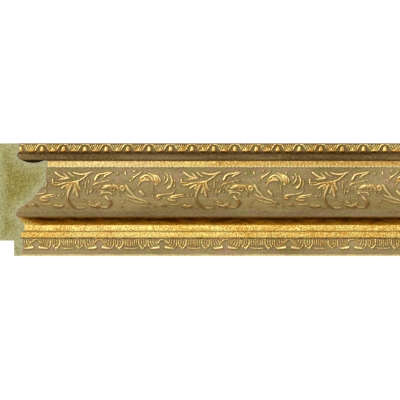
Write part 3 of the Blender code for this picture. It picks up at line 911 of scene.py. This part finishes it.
def add_back(solid, rims):
    """Add the plain sides, the rabbet and the back, and give their corners at both ends."""
    left = [solid.add_point(up - HALF, 0.5 * WIDTH - out, up) for out, up in back_section()]
    right = [solid.add_point(HALF, 0.5 * WIDTH - out, up) for out, up in back_section()]
    solid.add_face([*rims["sight"], right[0], left[0]], PATINA)
    for near, far in zip(range(3), range(1, 4)):
        solid.add_face([left[near], right[near], right[far], left[far]], SKIN)
    solid.add_face([left[3], right[3], *reversed(rims["outer"])], PATINA)
    return {"left": left, "right": right}


def add_cap(solid, rim, corners, bevelled):
    """Fill one end between the face's rim and the corners of the back."""
    border = [*rim, *corners]
    outline = np.array([(solid.verts[index][1] / MM, solid.verts[index][2] / MM) for index in border])
    low, high = outline.min(axis=0), outline.max(axis=0)
    grid = np.meshgrid(*(np.arange(start, end, CAP_STEP) for start, end in zip(low, high)))
    filling = np.stack([axis.ravel() for axis in grid], axis=1)
    closed = np.vstack((outline, outline[:1]))
    filling = filling[nearest_distance(filling, closed) > CAP_MARGIN]
    points = [Vector(point) for point in np.vstack((outline, filling)).tolist()]
    edges = closed_edges(len(outline))
    cap, _, pieces, sources, *_ = delaunay_2d_cdt(points, edges, [], INSIDE_OUTLINE, EXACT_MERGE)
    cap = np.array([tuple(point) for point in cap])
    coat = nearest_distance(cap, outline[:len(rim)])
    depth = np.minimum(nearest_distance(cap, closed), PALE_BACK_RATE * (cap[:, 1] - PALE_BACK))
    numbers = []
    for index, source in enumerate(sources):
        if source and source[0] < len(outline):
            numbers.append(border[source[0]])
            continue
        side, height = cap[index]
        along = height - HALF if bevelled else HALF
        numbers.append(solid.add_point(along, side, height, coat[index], depth[index]))
    for piece in pieces:
        solid.add_face([numbers[index] for index in piece], CORE)


def build_strip():
    """The whole strip as one closed mesh, with the marks that its finish follows."""
    face = Face(face_section())
    solid = Solid()
    rims, marks = add_carved_face(solid, face, Carving(face, ornament()))
    corners = add_back(solid, rims)
    add_cap(solid, rims["left"], corners["left"], bevelled=True)
    add_cap(solid, rims["right"], corners["right"], bevelled=False)
    mesh = bpy.data.meshes.new("carved_strip")
    mesh.from_pydata(solid.verts, [], solid.faces)
    mesh.polygons.foreach_set("material_index", solid.slots)
    for name, values in marks.items():
        padding = np.zeros(len(solid.verts) - len(values))
        store(mesh, name, np.concatenate((values, padding)))
    store(mesh, "coat", np.array(solid.coat))
    store(mesh, "depth", np.array(solid.depth))
    return mesh


def store(mesh, name, values):
    attribute = mesh.attributes.new(name, "FLOAT", "POINT")
    attribute.data.foreach_set("value", values.astype(np.float32))


# Where the finish lies

def find_gilding(span, girth, found):
    """How much gilding lies on the plain members, and on the face as a whole."""
    crest_start, crest_end = span["crest"]
    sight_start = span["sight edge"][0]
    band_foot = span["band"][1]
    plain = between(girth, crest_start - 0.2, crest_end, CRISP)
    plain += between(girth, *span["beads"], SOFT)
    plain += smooth_step(sight_start - CRISP, sight_start + CRISP, girth)
    plain -= CREST_LOSS * between(girth, crest_start + 0.2, crest_end - 1.0, SOFT)
    plain += BAND_FOOT_GILT * between(girth, band_foot - 0.4, band_foot + 0.6, CRISP)
    carved = smooth_step(*GILT_RELIEF, found["relief"]) * smooth_step(*BARE_EDGE, girth)
    # The brown strokes keep less gilding: their brown is wear and also painted shade
    carved *= 1.0 - WORN_AND_SHADED_LOSS * found["worn_and_shaded"]
    return plain, np.clip(np.maximum(plain, carved), 0.0, 1.0)


def find_crevices(face, span, girth, found, plain_gilt):
    """Darkening beside the strokes and in the quirks, which is painted shade strongest on the side away
    from the light, and umber patina in the cracks and where the gilding is gone.
    """
    beside = np.clip(found["clearance"], 0.0, FAR)
    crevice = np.exp(-beside / CREVICE_REACH) * (found["relief"] < CREVICE_RELIEF)
    # Painted shade beside the strokes, strongest on the side away from the light and on the slope
    crevice *= CREVICE_TO_LIGHT + CREVICE_TO_LEE * found["lee"]
    crevice *= 1.0 + CREVICE_ON_SLOPE * smooth_step(*span["shoulder"], girth)
    # Painted shade in the quirks between the members
    for place, reach, strength in QUIRKS:
        crevice += strength * np.exp(-((girth - face.girth_at(place)) / reach) ** 2)
    crevice += CREVICE_IN_CRACK * (found["crack"] > LEAST_CRACK)
    crevice += CREVICE_UNDER_WORN_AND_SHADED * found["worn_and_shaded"]
    crevice += CREVICE_UNDER_GILT * np.clip(plain_gilt, 0.0, 1.0)
    crevice += CREVICE_ON_BAND * (girth < span["band"][1])
    towards_sight = girth > face.girth_at(LOWER_BAND_END - 0.6)
    return np.clip(crevice * (1.0 - CREVICE_LOST_AT_SIGHT * towards_sight), 0.0, 1.0)


def find_hollow(span, girth):
    """The channel's dark brown, partly its paint and partly painted shade under the crest, and brown
    painted shadow on the band and along its outer edge.
    """
    hollow = between(girth, *span["channel"], SOFT)
    hollow += BAND_SHADOW * between(girth, *span["band"], HARD)
    return hollow + smooth_step(*OUTER_SHADOW, girth)


def find_wall(span, girth, height, low, high):
    """The channel's wall, from where it fades in to where it is full, above the floor."""
    channel = (girth > span["band"][1]) & (girth < span["crest"][0] - 0.4)
    return channel * smooth_step(CHANNEL_FLOOR + low, CHANNEL_FLOOR + high, height)


def find_lines(span, girth):
    """The two fine lines beside the fillet."""
    groove_start, groove_end = span["groove line"]
    lines = between(girth, *span["bead line"], HARD)
    return lines + between(girth, groove_start, groove_end + HARD, HARD)


def find_painted_shadow(span, along, girth, height, lines):
    """Painted shadow and dark reflection in a wedge in the cove, and lighter painted shade on the
    channel's lip and in the fine lines.
    """
    low, high = span["cove"]
    share = (girth - low) / (high - low)
    # The painted shadow widens away from the sharp end, where light gets past the cut
    reach = np.clip(WEDGE_START + WEDGE_SPREAD * (along + HALF - height), WEDGE_LEAST, 1.0)
    wedge = smooth_step(*WEDGE_RISE, share) * smooth_step(*WEDGE_FALL, share)
    wedge *= 1.0 - WEDGE_THINNING * (np.clip(share, 0.0, 1.0) / reach) ** WEDGE_POWER
    lip = LIP_SHADOW * find_wall(span, girth, height, *LIP_HEIGHTS)
    return np.clip(np.maximum.reduce((wedge, lip, LINE_SHADOW * lines)), 0.0, 1.0)


def find_shine(span, girth, found, gilt):
    """Painted highlights on the crest's inner rim, the sight edge and the tops of the strokes, whose
    gilding is also rubbed bright.
    """
    crest_end = span["crest"][1]
    # Painted highlights along the crest's inner rim and the sight edge
    edges = CREST_EDGE_SHINE * between(girth, crest_end - 1.0, crest_end, SOFT)
    edges += SIGHT_EDGE_SHINE * smooth_step(*span["sight edge"], girth)
    tops = 1.0 + TOP_LEAF_SHINE * between(girth, *span["top leaves"], 1.0)
    tops += SLOPE_SHINE * smooth_step(*span["shoulder"], girth)
    tops -= BAND_DULLNESS * (girth < span["band"][1])
    tops *= gilt * smooth_step(*TOP_RELIEF, found["relief"]) * smooth_step(*TOP_FLANK, found["flank"])
    return np.maximum(edges, tops)


def find_thinness_and_shade(span, girth, found, lines):
    """Where the undercoat shows through thinned gilding, and painted shade on the strokes' sides away
    from the light, at the band's foot, at the crest's start and in the fine lines.
    """
    crest_start, crest_end = span["crest"]
    slope_start, slope_end = span["slope"]
    band_foot = span["band"][1]
    thin_and_shade = FILLET_THIN * between(girth, *span["fillet"], SOFT)
    thin_and_shade += SLOPE_THIN * smooth_step(slope_start - 2.0, slope_end - 6.0, girth) * (girth < slope_end)
    thin_and_shade += CREST_THIN * between(girth, crest_start, crest_end - 1.0, SOFT)
    thin_and_shade += between(girth, crest_start - 0.4, crest_start + 0.3, CRISP)
    thin_and_shade += smooth_step(band_foot - 1.5, band_foot - 0.1, girth) * (girth < band_foot + 0.9)
    thin_and_shade += LINE_GILT_SHADE * lines + WORN_AND_SHADED_THIN * found["worn_and_shaded"]
    return np.clip(thin_and_shade + smooth_step(*THIN_FLANK, found["flank"]), 0.0, 1.0)


def find_ageing(span, along, girth):
    """How deep the gold has gone, and below 0 where it is pale."""
    crest_start, crest_end = span["crest"]
    on_crest = between(girth, crest_start - 1.0, crest_end + 1.0, SOFT)
    deep = DEEP_LEAF * (girth > crest_end + 1.0) + DEEP_CREST * on_crest
    pale = between(along, PALE_FROM, PALE_TO, PALE_FADE) * (PALE_LEAF + PALE_CREST * on_crest)
    return smooth_step(PALE_PLACE, DEEP_END, along) * deep - PALE_WEIGHT * pale


def finish_marks(face, along, girth, height, found):
    """What the finish follows at each point of the face, by name."""
    span = {name: face.girth_at(np.array(limits)) for name, limits in SPANS.items()}
    plain_gilt, gilt = find_gilding(span, girth, found)
    lines = find_lines(span, girth)
    dust_and_light_places, dust_and_light_amount = DUST_AND_LIGHT.T
    return {
        "gilt": gilt * (found["crack"] < LEAST_CRACK),
        "aged": find_ageing(span, along, girth),
        "crevice": find_crevices(face, span, girth, found, plain_gilt),
        "hollow": find_hollow(span, girth),
        # Painted shadow and reflection in the cove, painted shade on the channel's lip and in the fine
        # lines
        "painted_shadow": find_painted_shadow(span, along, girth, height, lines),
        # Near-black painted shadow on the channel's wall under the crest's overhang
        "undercut_shadow": UNDERCUT_SHADOW * find_wall(span, girth, height, *UNDERCUT_SHADOW_HEIGHTS),
        # Undercoat through thinned gilding, with painted shade on the strokes' sides away from the
        # light
        "flank": find_thinness_and_shade(span, girth, found, lines),
        # Painted highlights on the rims and the stroke tops, which are also rubbed
        "crown": find_shine(span, girth, found, gilt),
        # Pale where dusted, and painted light on the slope that faces away from the light
        "dust_and_light": np.interp(girth, face.girth_at(dust_and_light_places), dust_and_light_amount),
    }


# Shader helpers

# How high the noise stands where the fewest specks show, and how sharply a speck ends
FEWEST_SPECKS = 0.78
SPECK_EDGE = 12.0


def srgb(red, green, blue):
    """A colour as the eye names it, 0 to 255, turned into the renderer's linear values."""
    parts = []
    for value in (red, green, blue):
        part = value / 255
        parts.append(part / 12.92 if part <= 0.04045 else ((part + 0.055) / 1.055) ** 2.4)
    return (*parts, 1.0)


def put(tree, kind, settings=None, **links):
    """Add a node, set its properties, and give its inputs a value or a link. An input goes by its
    name, with _ for a space, or by its place, such as i0 for the first."""
    node = tree.nodes.new(kind)
    for name, value in (settings or {}).items():
        setattr(node, name, value)
    for name, value in links.items():
        by_place = name[0] == "i" and name[1:].isdigit()
        socket = node.inputs[int(name[1:]) if by_place else name.replace("_", " ")]
        if isinstance(value, bpy.types.NodeSocket):
            tree.links.new(value, socket)
        else:
            socket.default_value = value
    return node


def reckon(tree, operation, first, second=0.0):
    return put(tree, "ShaderNodeMath", {"operation": operation}, i0=first, i1=second).outputs[0]


def weigh(tree, mask, weight):
    return reckon(tree, "MULTIPLY", mask, weight)


def blend(tree, factor, first, second, mode="MIX"):
    """Mix two colours."""
    settings = {"data_type": "RGBA", "blend_type": mode}
    return put(tree, "ShaderNodeMix", settings, i0=factor, i6=first, i7=second).outputs[2]


def stretch(tree, value, low, high, new_low=0.0, new_high=1.0):
    """Map a value's range to another one, clamped."""
    ends = {"From_Min": low, "From_Max": high, "To_Min": new_low, "To_Max": new_high}
    return put(tree, "ShaderNodeMapRange", None, Value=value, **ends).outputs[0]


def mark(tree, name):
    return put(tree, "ShaderNodeAttribute", {"attribute_name": name}).outputs["Fac"]


def new_group(name, inputs, outputs):
    group = bpy.data.node_groups.new(name, "ShaderNodeTree")
    for label, default in inputs.items():
        socket = group.interface.new_socket(label, in_out="INPUT", socket_type="NodeSocketFloat")
        socket.default_value = default
    for label in outputs:
        group.interface.new_socket(label, in_out="OUTPUT", socket_type="NodeSocketFloat")
    return group, group.nodes.new("NodeGroupInput"), group.nodes.new("NodeGroupOutput")


def clamped(group, operation, first, second):
    settings = {"operation": operation, "use_clamp": True}
    return put(group, "ShaderNodeMath", settings, i0=first, i1=second).outputs[0]


def make_mottle_group():
    """Cloudy variation, drawn out along the strip by Draw, from 0 to 1."""
    inputs = {"Scale": 100.0, "Draw": 1.0, "Contrast": 1.0}
    group, given, result = new_group("mottle", inputs, ["Value"])
    scale, draw, contrast = (given.outputs[name] for name in ("Scale", "Draw", "Contrast"))
    place = put(group, "ShaderNodeTexCoord").outputs["Object"]
    factors = put(group, "ShaderNodeCombineXYZ", None, X=draw, Y=1.0, Z=1.0).outputs[0]
    settings = {"operation": "MULTIPLY"}
    drawn = put(group, "ShaderNodeVectorMath", settings, i0=place, i1=factors).outputs[0]
    cloud = put(group, "ShaderNodeTexNoise", None, Vector=drawn, Scale=scale, Detail=3.0, Roughness=0.6)
    centred = reckon(group, "SUBTRACT", cloud.outputs["Fac"], 0.5)
    value = clamped(group, "ADD", reckon(group, "MULTIPLY", centred, contrast), 0.5)
    group.links.new(value, result.inputs["Value"])
    return group


def make_speck_group():
    """Small specks, as many as Amount asks for, with a jagged outline."""
    group, given, result = new_group("specks", {"Scale": 600.0, "Amount": 0.2}, ["Mask"])
    scale, amount = (given.outputs[name] for name in ("Scale", "Amount"))
    place = put(group, "ShaderNodeTexCoord").outputs["Object"]
    fine = put(group, "ShaderNodeTexNoise", None, Vector=place, Scale=scale, Detail=2.0, Roughness=0.7)
    level = reckon(group, "SUBTRACT", FEWEST_SPECKS, reckon(group, "MULTIPLY", amount, 0.5))
    above = reckon(group, "SUBTRACT", fine.outputs["Fac"], level)
    mask = clamped(group, "MULTIPLY", above, SPECK_EDGE)
    group.links.new(mask, result.inputs["Mask"])
    return group


mottle_group = make_mottle_group()
speck_group = make_speck_group()


def mottle(tree, scale, draw=1.0, contrast=1.0):
    settings = {"node_tree": mottle_group}
    node = put(tree, "ShaderNodeGroup", settings, Scale=scale, Draw=draw, Contrast=contrast)
    return node.outputs["Value"]


def specks(tree, scale, amount):
    node = put(tree, "ShaderNodeGroup", {"node_tree": speck_group}, Scale=scale, Amount=amount)
    return node.outputs["Mask"]


def roughen(tree, shader, height, strength, distance):
    """Give the surface a fine bump."""
    bump = put(tree, "ShaderNodeBump", None, Strength=strength, Distance=distance, Height=height)
    tree.links.new(bump.outputs["Normal"], shader.inputs["Normal"])


def new_material(name):
    material = bpy.data.materials.new(name)
    material.use_nodes = True
    tree = material.node_tree
    return material, tree, tree.nodes["Principled BSDF"]


# The finishes' colours

DEEP_GOLD = srgb(216, 156, 14)
LEMON_GOLD = srgb(238, 222, 122)
ORANGE_GOLD = srgb(236, 164, 6)
STRAW_GOLD = srgb(226, 208, 122)
BROWNED_GOLD = srgb(180, 120, 16)
BLEACHED_GOLD = srgb(250, 234, 180)
GLINT = srgb(255, 248, 158)
PIT = srgb(140, 86, 10)
# Painted highlight on the rims and on the tops of the strokes, which are also rubbed
RUBBED_HIGHLIGHT_GOLD = srgb(255, 246, 184)
# The undercoat through thinned gilding, also painted shade on the strokes' sides away from the light
UNDERCOAT_AND_SHADE = srgb(168, 96, 6)
MAUVE_PAINT = srgb(153, 122, 96)
OLIVE_PAINT = srgb(133, 130, 72)
# Dusted pale, and also painted light on the slope that faces away from the light
PALE_DUST_AND_LIGHT = srgb(184, 163, 102)
# The channel's brown, partly its paint and partly painted shade under the crest's overhang
UMBER = srgb(86, 53, 18)
OLIVE_BROWN = srgb(114, 92, 26)
GRAIN_SHADE = srgb(196, 176, 134)
GRAIN_LIGHT = srgb(236, 216, 176)
CLOUD_SHADE = srgb(220, 216, 200)
CLOUD_LIGHT = srgb(230, 212, 160)
# Painted shade beside the strokes and in the quirks, with umber patina in the cracks
CREVICE_GLAZE_AND_SHADE = srgb(76, 42, 4)
GOLD_DUST = srgb(200, 164, 88)
# Painted shadow and dark reflection: its pale fringe and its deep middle
SHADOW_FRINGE = srgb(220, 176, 76)
DEEP_SHADOW = srgb(74, 42, 10)
# Near-black painted shadow on the channel's wall under the crest's overhang
UNDERCUT_SHADOW_COLOUR = srgb(22, 15, 5)
DENSE_FOAM = srgb(153, 151, 102)
CORE_FOAM = srgb(122, 110, 14)
FOAM_SHADE = srgb(94, 84, 26)
FOAM_LIGHT = srgb(182, 178, 118)
PORE = srgb(76, 66, 20)
FACE_COAT = srgb(148, 146, 124)
DARK_SKIN = srgb(150, 146, 104)
LIGHT_SKIN = srgb(166, 162, 122)
DIE_LINE = srgb(132, 126, 82)
SKIN_PORE = srgb(104, 96, 52)


# The finishes

def leaf_colour(tree, fine):
    """Gold leaf: clouded, grainy, deeper or paler along the strip, rubbed and given a painted highlight
    on top, with undercoat and painted shade at the sides.
    """
    aged = mark(tree, "aged")
    tint = mottle(tree, scale=620.0, draw=0.8, contrast=4.6)
    leaf = blend(tree, mottle(tree, scale=170.0, draw=0.35, contrast=5.5), DEEP_GOLD, LEMON_GOLD)
    leaf = blend(tree, stretch(tree, tint, 0.5, 1.0, 0.0, 0.6), leaf, ORANGE_GOLD)
    leaf = blend(tree, stretch(tree, tint, 0.5, 0.0, 0.0, 0.4), leaf, STRAW_GOLD)
    leaf = blend(tree, stretch(tree, aged, 0.0, 1.0), leaf, BROWNED_GOLD)
    leaf = blend(tree, stretch(tree, aged, 0.0, -0.5, 0.0, 0.6), leaf, BLEACHED_GOLD)
    leaf = blend(tree, stretch(tree, fine, 0.5, 0.9, 0.0, 0.88), leaf, GLINT)
    leaf = blend(tree, stretch(tree, fine, 0.05, 0.5, 0.86, 0.0), leaf, PIT)
    # Painted highlight on the rims and on the tops of the strokes, which are also rubbed
    leaf = blend(tree, weigh(tree, mark(tree, "crown"), 0.28), leaf, RUBBED_HIGHLIGHT_GOLD)
    # The undercoat through thinned gilding, with painted shade on the strokes' sides away from the
    # light
    return blend(tree, weigh(tree, mark(tree, "flank"), 0.85), leaf, UNDERCOAT_AND_SHADE)


def paint_colour(tree):
    """The patina: mottled mauve and olive paint, brown in the channel and partly painted shade there,
    darkened beside the strokes with painted shade and umber patina, and lightened on the slope where it
    is dusted pale and with painted light.
    """
    tone = mottle(tree, scale=360.0, draw=0.4, contrast=3.2)
    cloud = mottle(tree, scale=70.0, draw=0.25, contrast=3.6)
    grain = mottle(tree, scale=1900.0, draw=0.8, contrast=3.6)
    streak = mottle(tree, scale=600.0, draw=0.1, contrast=4.4)
    paint = blend(tree, tone, MAUVE_PAINT, OLIVE_PAINT)
    # Lighter where dusted pale, and painted light on the slope that faces away from the light
    paint = blend(tree, weigh(tree, mark(tree, "dust_and_light"), 0.45), paint, PALE_DUST_AND_LIGHT)
    channel = blend(tree, streak, UMBER, OLIVE_BROWN)
    # The channel's brown, partly its paint and partly painted shade under the crest's overhang
    paint = blend(tree, weigh(tree, mark(tree, "hollow"), 0.8), paint, channel)
    paint = blend(tree, stretch(tree, grain, 0.5, 1.0, 0.0, 0.72), paint, GRAIN_SHADE, "MULTIPLY")
    paint = blend(tree, stretch(tree, grain, 0.5, 0.0, 0.0, 0.2), paint, GRAIN_LIGHT)
    paint = blend(tree, stretch(tree, cloud, 0.5, 0.0, 0.0, 0.7), paint, CLOUD_SHADE, "MULTIPLY")
    paint = blend(tree, stretch(tree, cloud, 0.5, 1.0, 0.0, 0.09), paint, CLOUD_LIGHT)
    # Painted shade beside the strokes and in the quirks, with umber patina in the cracks
    paint = blend(tree, weigh(tree, mark(tree, "crevice"), 0.66), paint, CREVICE_GLAZE_AND_SHADE)
    return blend(tree, weigh(tree, specks(tree, scale=1000.0, amount=0.3), 0.4), paint, GOLD_DUST)


def shadowed(tree, colour, fine):
    """Painted shadow and dark reflection over paint and gold alike, paler at its fringe, and the
    near-black painted shadow on the channel's wall.
    """
    clouds = reckon(tree, "ADD", mottle(tree, scale=420.0, draw=0.35, contrast=4.0), fine)
    # Painted shadow and dark reflection in the cove, painted shade on the lip and in the fine lines
    shadow_depth = reckon(tree, "MULTIPLY", mark(tree, "painted_shadow"), stretch(tree, clouds, 0.0, 2.0, 0.7, 1.3))
    colour = blend(tree, stretch(tree, shadow_depth, 0.02, 0.4), colour, SHADOW_FRINGE, "MULTIPLY")
    colour = blend(tree, stretch(tree, shadow_depth, 0.45, 0.94), colour, DEEP_SHADOW)
    # Near-black painted shadow on the channel's wall under the crest's overhang
    return blend(tree, mark(tree, "undercut_shadow"), colour, UNDERCUT_SHADOW_COLOUR)


def make_gilded_patina():
    """Worn gold on the raised work and beads, over an olive and umber patina."""
    material, tree, shader = new_material("gilded_patina")
    fine = mottle(tree, scale=1900.0, draw=0.8, contrast=4.2)
    flakes = stretch(tree, mottle(tree, scale=800.0, draw=0.9, contrast=2.8), 0.0, 1.0, -0.34, 0.24)
    kept = stretch(tree, reckon(tree, "ADD", mark(tree, "gilt"), flakes), 0.3, 0.66)
    lost = specks(tree, scale=1000.0, amount=0.34)
    gold = reckon(tree, "MULTIPLY", kept, reckon(tree, "SUBTRACT", 1.0, lost))
    colour = blend(tree, gold, paint_colour(tree), leaf_colour(tree, fine))
    tree.links.new(shadowed(tree, colour, fine), shader.inputs["Base Color"])
    tree.links.new(weigh(tree, gold, 0.92), shader.inputs["Metallic"])
    shader.inputs["Specular IOR Level"].default_value = 0.06
    polish = stretch(tree, gold, 0.0, 1.0, 0.55, 0.34)
    rough = reckon(tree, "ADD", polish, stretch(tree, fine, 0.0, 1.0, -0.06, 0.1))
    tree.links.new(rough, shader.inputs["Roughness"])
    height = reckon(tree, "ADD", weigh(tree, fine, 0.6), weigh(tree, gold, 0.5))
    roughen(tree, shader, height, strength=0.5, distance=0.14 * MM)
    return material


def make_foam_core():
    """The sawn ends: an olive porous core, a paler dense skin and a grey coat at the face."""
    material, tree, shader = new_material("foam_core")
    patch = mottle(tree, scale=170.0, draw=1.0, contrast=1.5)
    grain = mottle(tree, scale=1000.0, draw=1.0, contrast=3.2)
    core = stretch(tree, mark(tree, "depth"), 1.5, 8.5)
    core = reckon(tree, "MULTIPLY", core, stretch(tree, patch, 0.0, 1.0, 0.55, 1.35))
    colour = blend(tree, core, DENSE_FOAM, CORE_FOAM)
    colour = blend(tree, stretch(tree, grain, 0.5, 0.0, 0.0, 0.7), colour, FOAM_SHADE)
    colour = blend(tree, stretch(tree, grain, 0.5, 1.0, 0.0, 0.45), colour, FOAM_LIGHT)
    pores = specks(tree, scale=1300.0, amount=0.42)
    colour = blend(tree, weigh(tree, pores, 0.55), colour, PORE)
    colour = blend(tree, stretch(tree, mark(tree, "coat"), 0.3, 1.3, 0.6, 0.0), colour, FACE_COAT)
    tree.links.new(colour, shader.inputs["Base Color"])
    shader.inputs["Roughness"].default_value = 0.85
    roughen(tree, shader, reckon(tree, "SUBTRACT", grain, pores), strength=0.5, distance=0.2 * MM)
    return material


def make_foam_skin():
    """The bare back and rabbet: smooth pale foam with faint lines of the die along it."""
    material, tree, shader = new_material("foam_skin")
    lines = mottle(tree, scale=500.0, draw=0.02, contrast=1.6)
    patch = mottle(tree, scale=60.0, draw=0.5, contrast=1.4)
    colour = blend(tree, patch, DARK_SKIN, LIGHT_SKIN)
    colour = blend(tree, stretch(tree, lines, 0.3, 0.8, 0.0, 0.3), colour, DIE_LINE)
    pores = specks(tree, scale=700.0, amount=0.18)
    colour = blend(tree, weigh(tree, pores, 0.4), colour, SKIN_PORE)
    tree.links.new(colour, shader.inputs["Base Color"])
    shader.inputs["Roughness"].default_value = 0.7
    roughen(tree, shader, lines, strength=0.4, distance=0.15 * MM)
    return material


# The piece itself

# Edges sharper than this, in degrees, are drawn crisp
SHARP_ANGLE = 43

strip_mesh = build_strip()
for finish in (make_gilded_patina(), make_foam_core(), make_foam_skin()):
    strip_mesh.materials.append(finish)
strip_mesh.shade_smooth()
strip_mesh.set_sharp_from_angle(angle=math.radians(SHARP_ANGLE))
strip = bpy.data.objects.new("carved_strip", strip_mesh)
bpy.context.scene.collection.objects.link(strip)
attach(strip, "root")
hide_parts("moulding_strip")


# Floor, light and camera

FLOOR_HALF = 4.0
FLOOR_GREY = (0.5, 0.5, 0.5, 1.0)
FLOOR_ROUGHNESS = 0.9
WHITE = (1.0, 1.0, 1.0, 1.0)
FLOOR_GLOW = 0.75
SKY_COLOUR = (1.0, 0.98, 0.95, 1.0)
SOFTBOX_WAY = Vector((-0.34, 0.12, 0.93)).normalized()
SOFTBOX_EDGE = -0.05
SOFTBOX_CORE = 0.85
SKY_LOW = 0.38
SKY_HIGH = 1.12
SUN_WAY = Vector((-0.6, 0.3, 0.8))
SUN_POWER = 1.2
SUN_WIDTH = 24.0
PIXEL = 0.6 * MM
PHOTO_PIXELS = 400
VIEW_CENTRE_X = 2.1 * MM
VIEW_CENTRE_Y = -0.26 * MM
FOCUS_HEIGHT = 20.0 * MM
LENS = 1000.0
SENSOR = 36.0
CLIP_START = 0.5

floor_mesh = bpy.data.meshes.new("studio_floor")
floor_corners = [
    (side * FLOOR_HALF, end * FLOOR_HALF, 0.0) for side, end in ((-1, -1), (1, -1), (1, 1), (-1, 1))]
floor_mesh.from_pydata(floor_corners, [], [(0, 1, 2, 3)])
floor_material, _, floor_shader = new_material("pale_floor")
floor_shader.inputs["Base Color"].default_value = FLOOR_GREY
floor_shader.inputs["Roughness"].default_value = FLOOR_ROUGHNESS
floor_shader.inputs["Emission Color"].default_value = WHITE
floor_shader.inputs["Emission Strength"].default_value = FLOOR_GLOW
floor_mesh.materials.append(floor_material)
floor = bpy.data.objects.new("studio_floor", floor_mesh)
bpy.context.scene.collection.objects.link(floor)

world = bpy.data.worlds.new("studio")
world.use_nodes = True
sky = world.node_tree
backdrop = sky.nodes["Background"]
backdrop.inputs["Color"].default_value = SKY_COLOUR
way = put(sky, "ShaderNodeTexCoord").outputs["Generated"]
settings = {"operation": "DOT_PRODUCT"}
facing = put(sky, "ShaderNodeVectorMath", settings, i0=way, i1=tuple(SOFTBOX_WAY)).outputs["Value"]
brightness = stretch(sky, facing, SOFTBOX_EDGE, SOFTBOX_CORE, SKY_LOW, SKY_HIGH)
sky.links.new(brightness, backdrop.inputs["Strength"])
bpy.context.scene.world = world

sun = bpy.data.lights.new("key", "SUN")
sun.energy = SUN_POWER
sun.angle = math.radians(SUN_WIDTH)
sun_light = bpy.data.objects.new("key", sun)
sun_light.rotation_euler = SUN_WAY.to_track_quat("Z", "Y").to_euler()
bpy.context.scene.collection.objects.link(sun_light)

distance = PHOTO_PIXELS * PIXEL * LENS / SENSOR
camera_data = bpy.data.cameras.new("camera")
camera_data.lens = LENS
camera_data.sensor_width = SENSOR
camera_data.clip_start = CLIP_START
camera_data.clip_end = 3.0 * distance
camera = bpy.data.objects.new("camera", camera_data)
camera.location = (VIEW_CENTRE_X, VIEW_CENTRE_Y, FOCUS_HEIGHT + distance)
bpy.context.scene.collection.objects.link(camera)
bpy.context.scene.camera = camera
bpy.context.scene.view_settings.view_transform = "Standard"
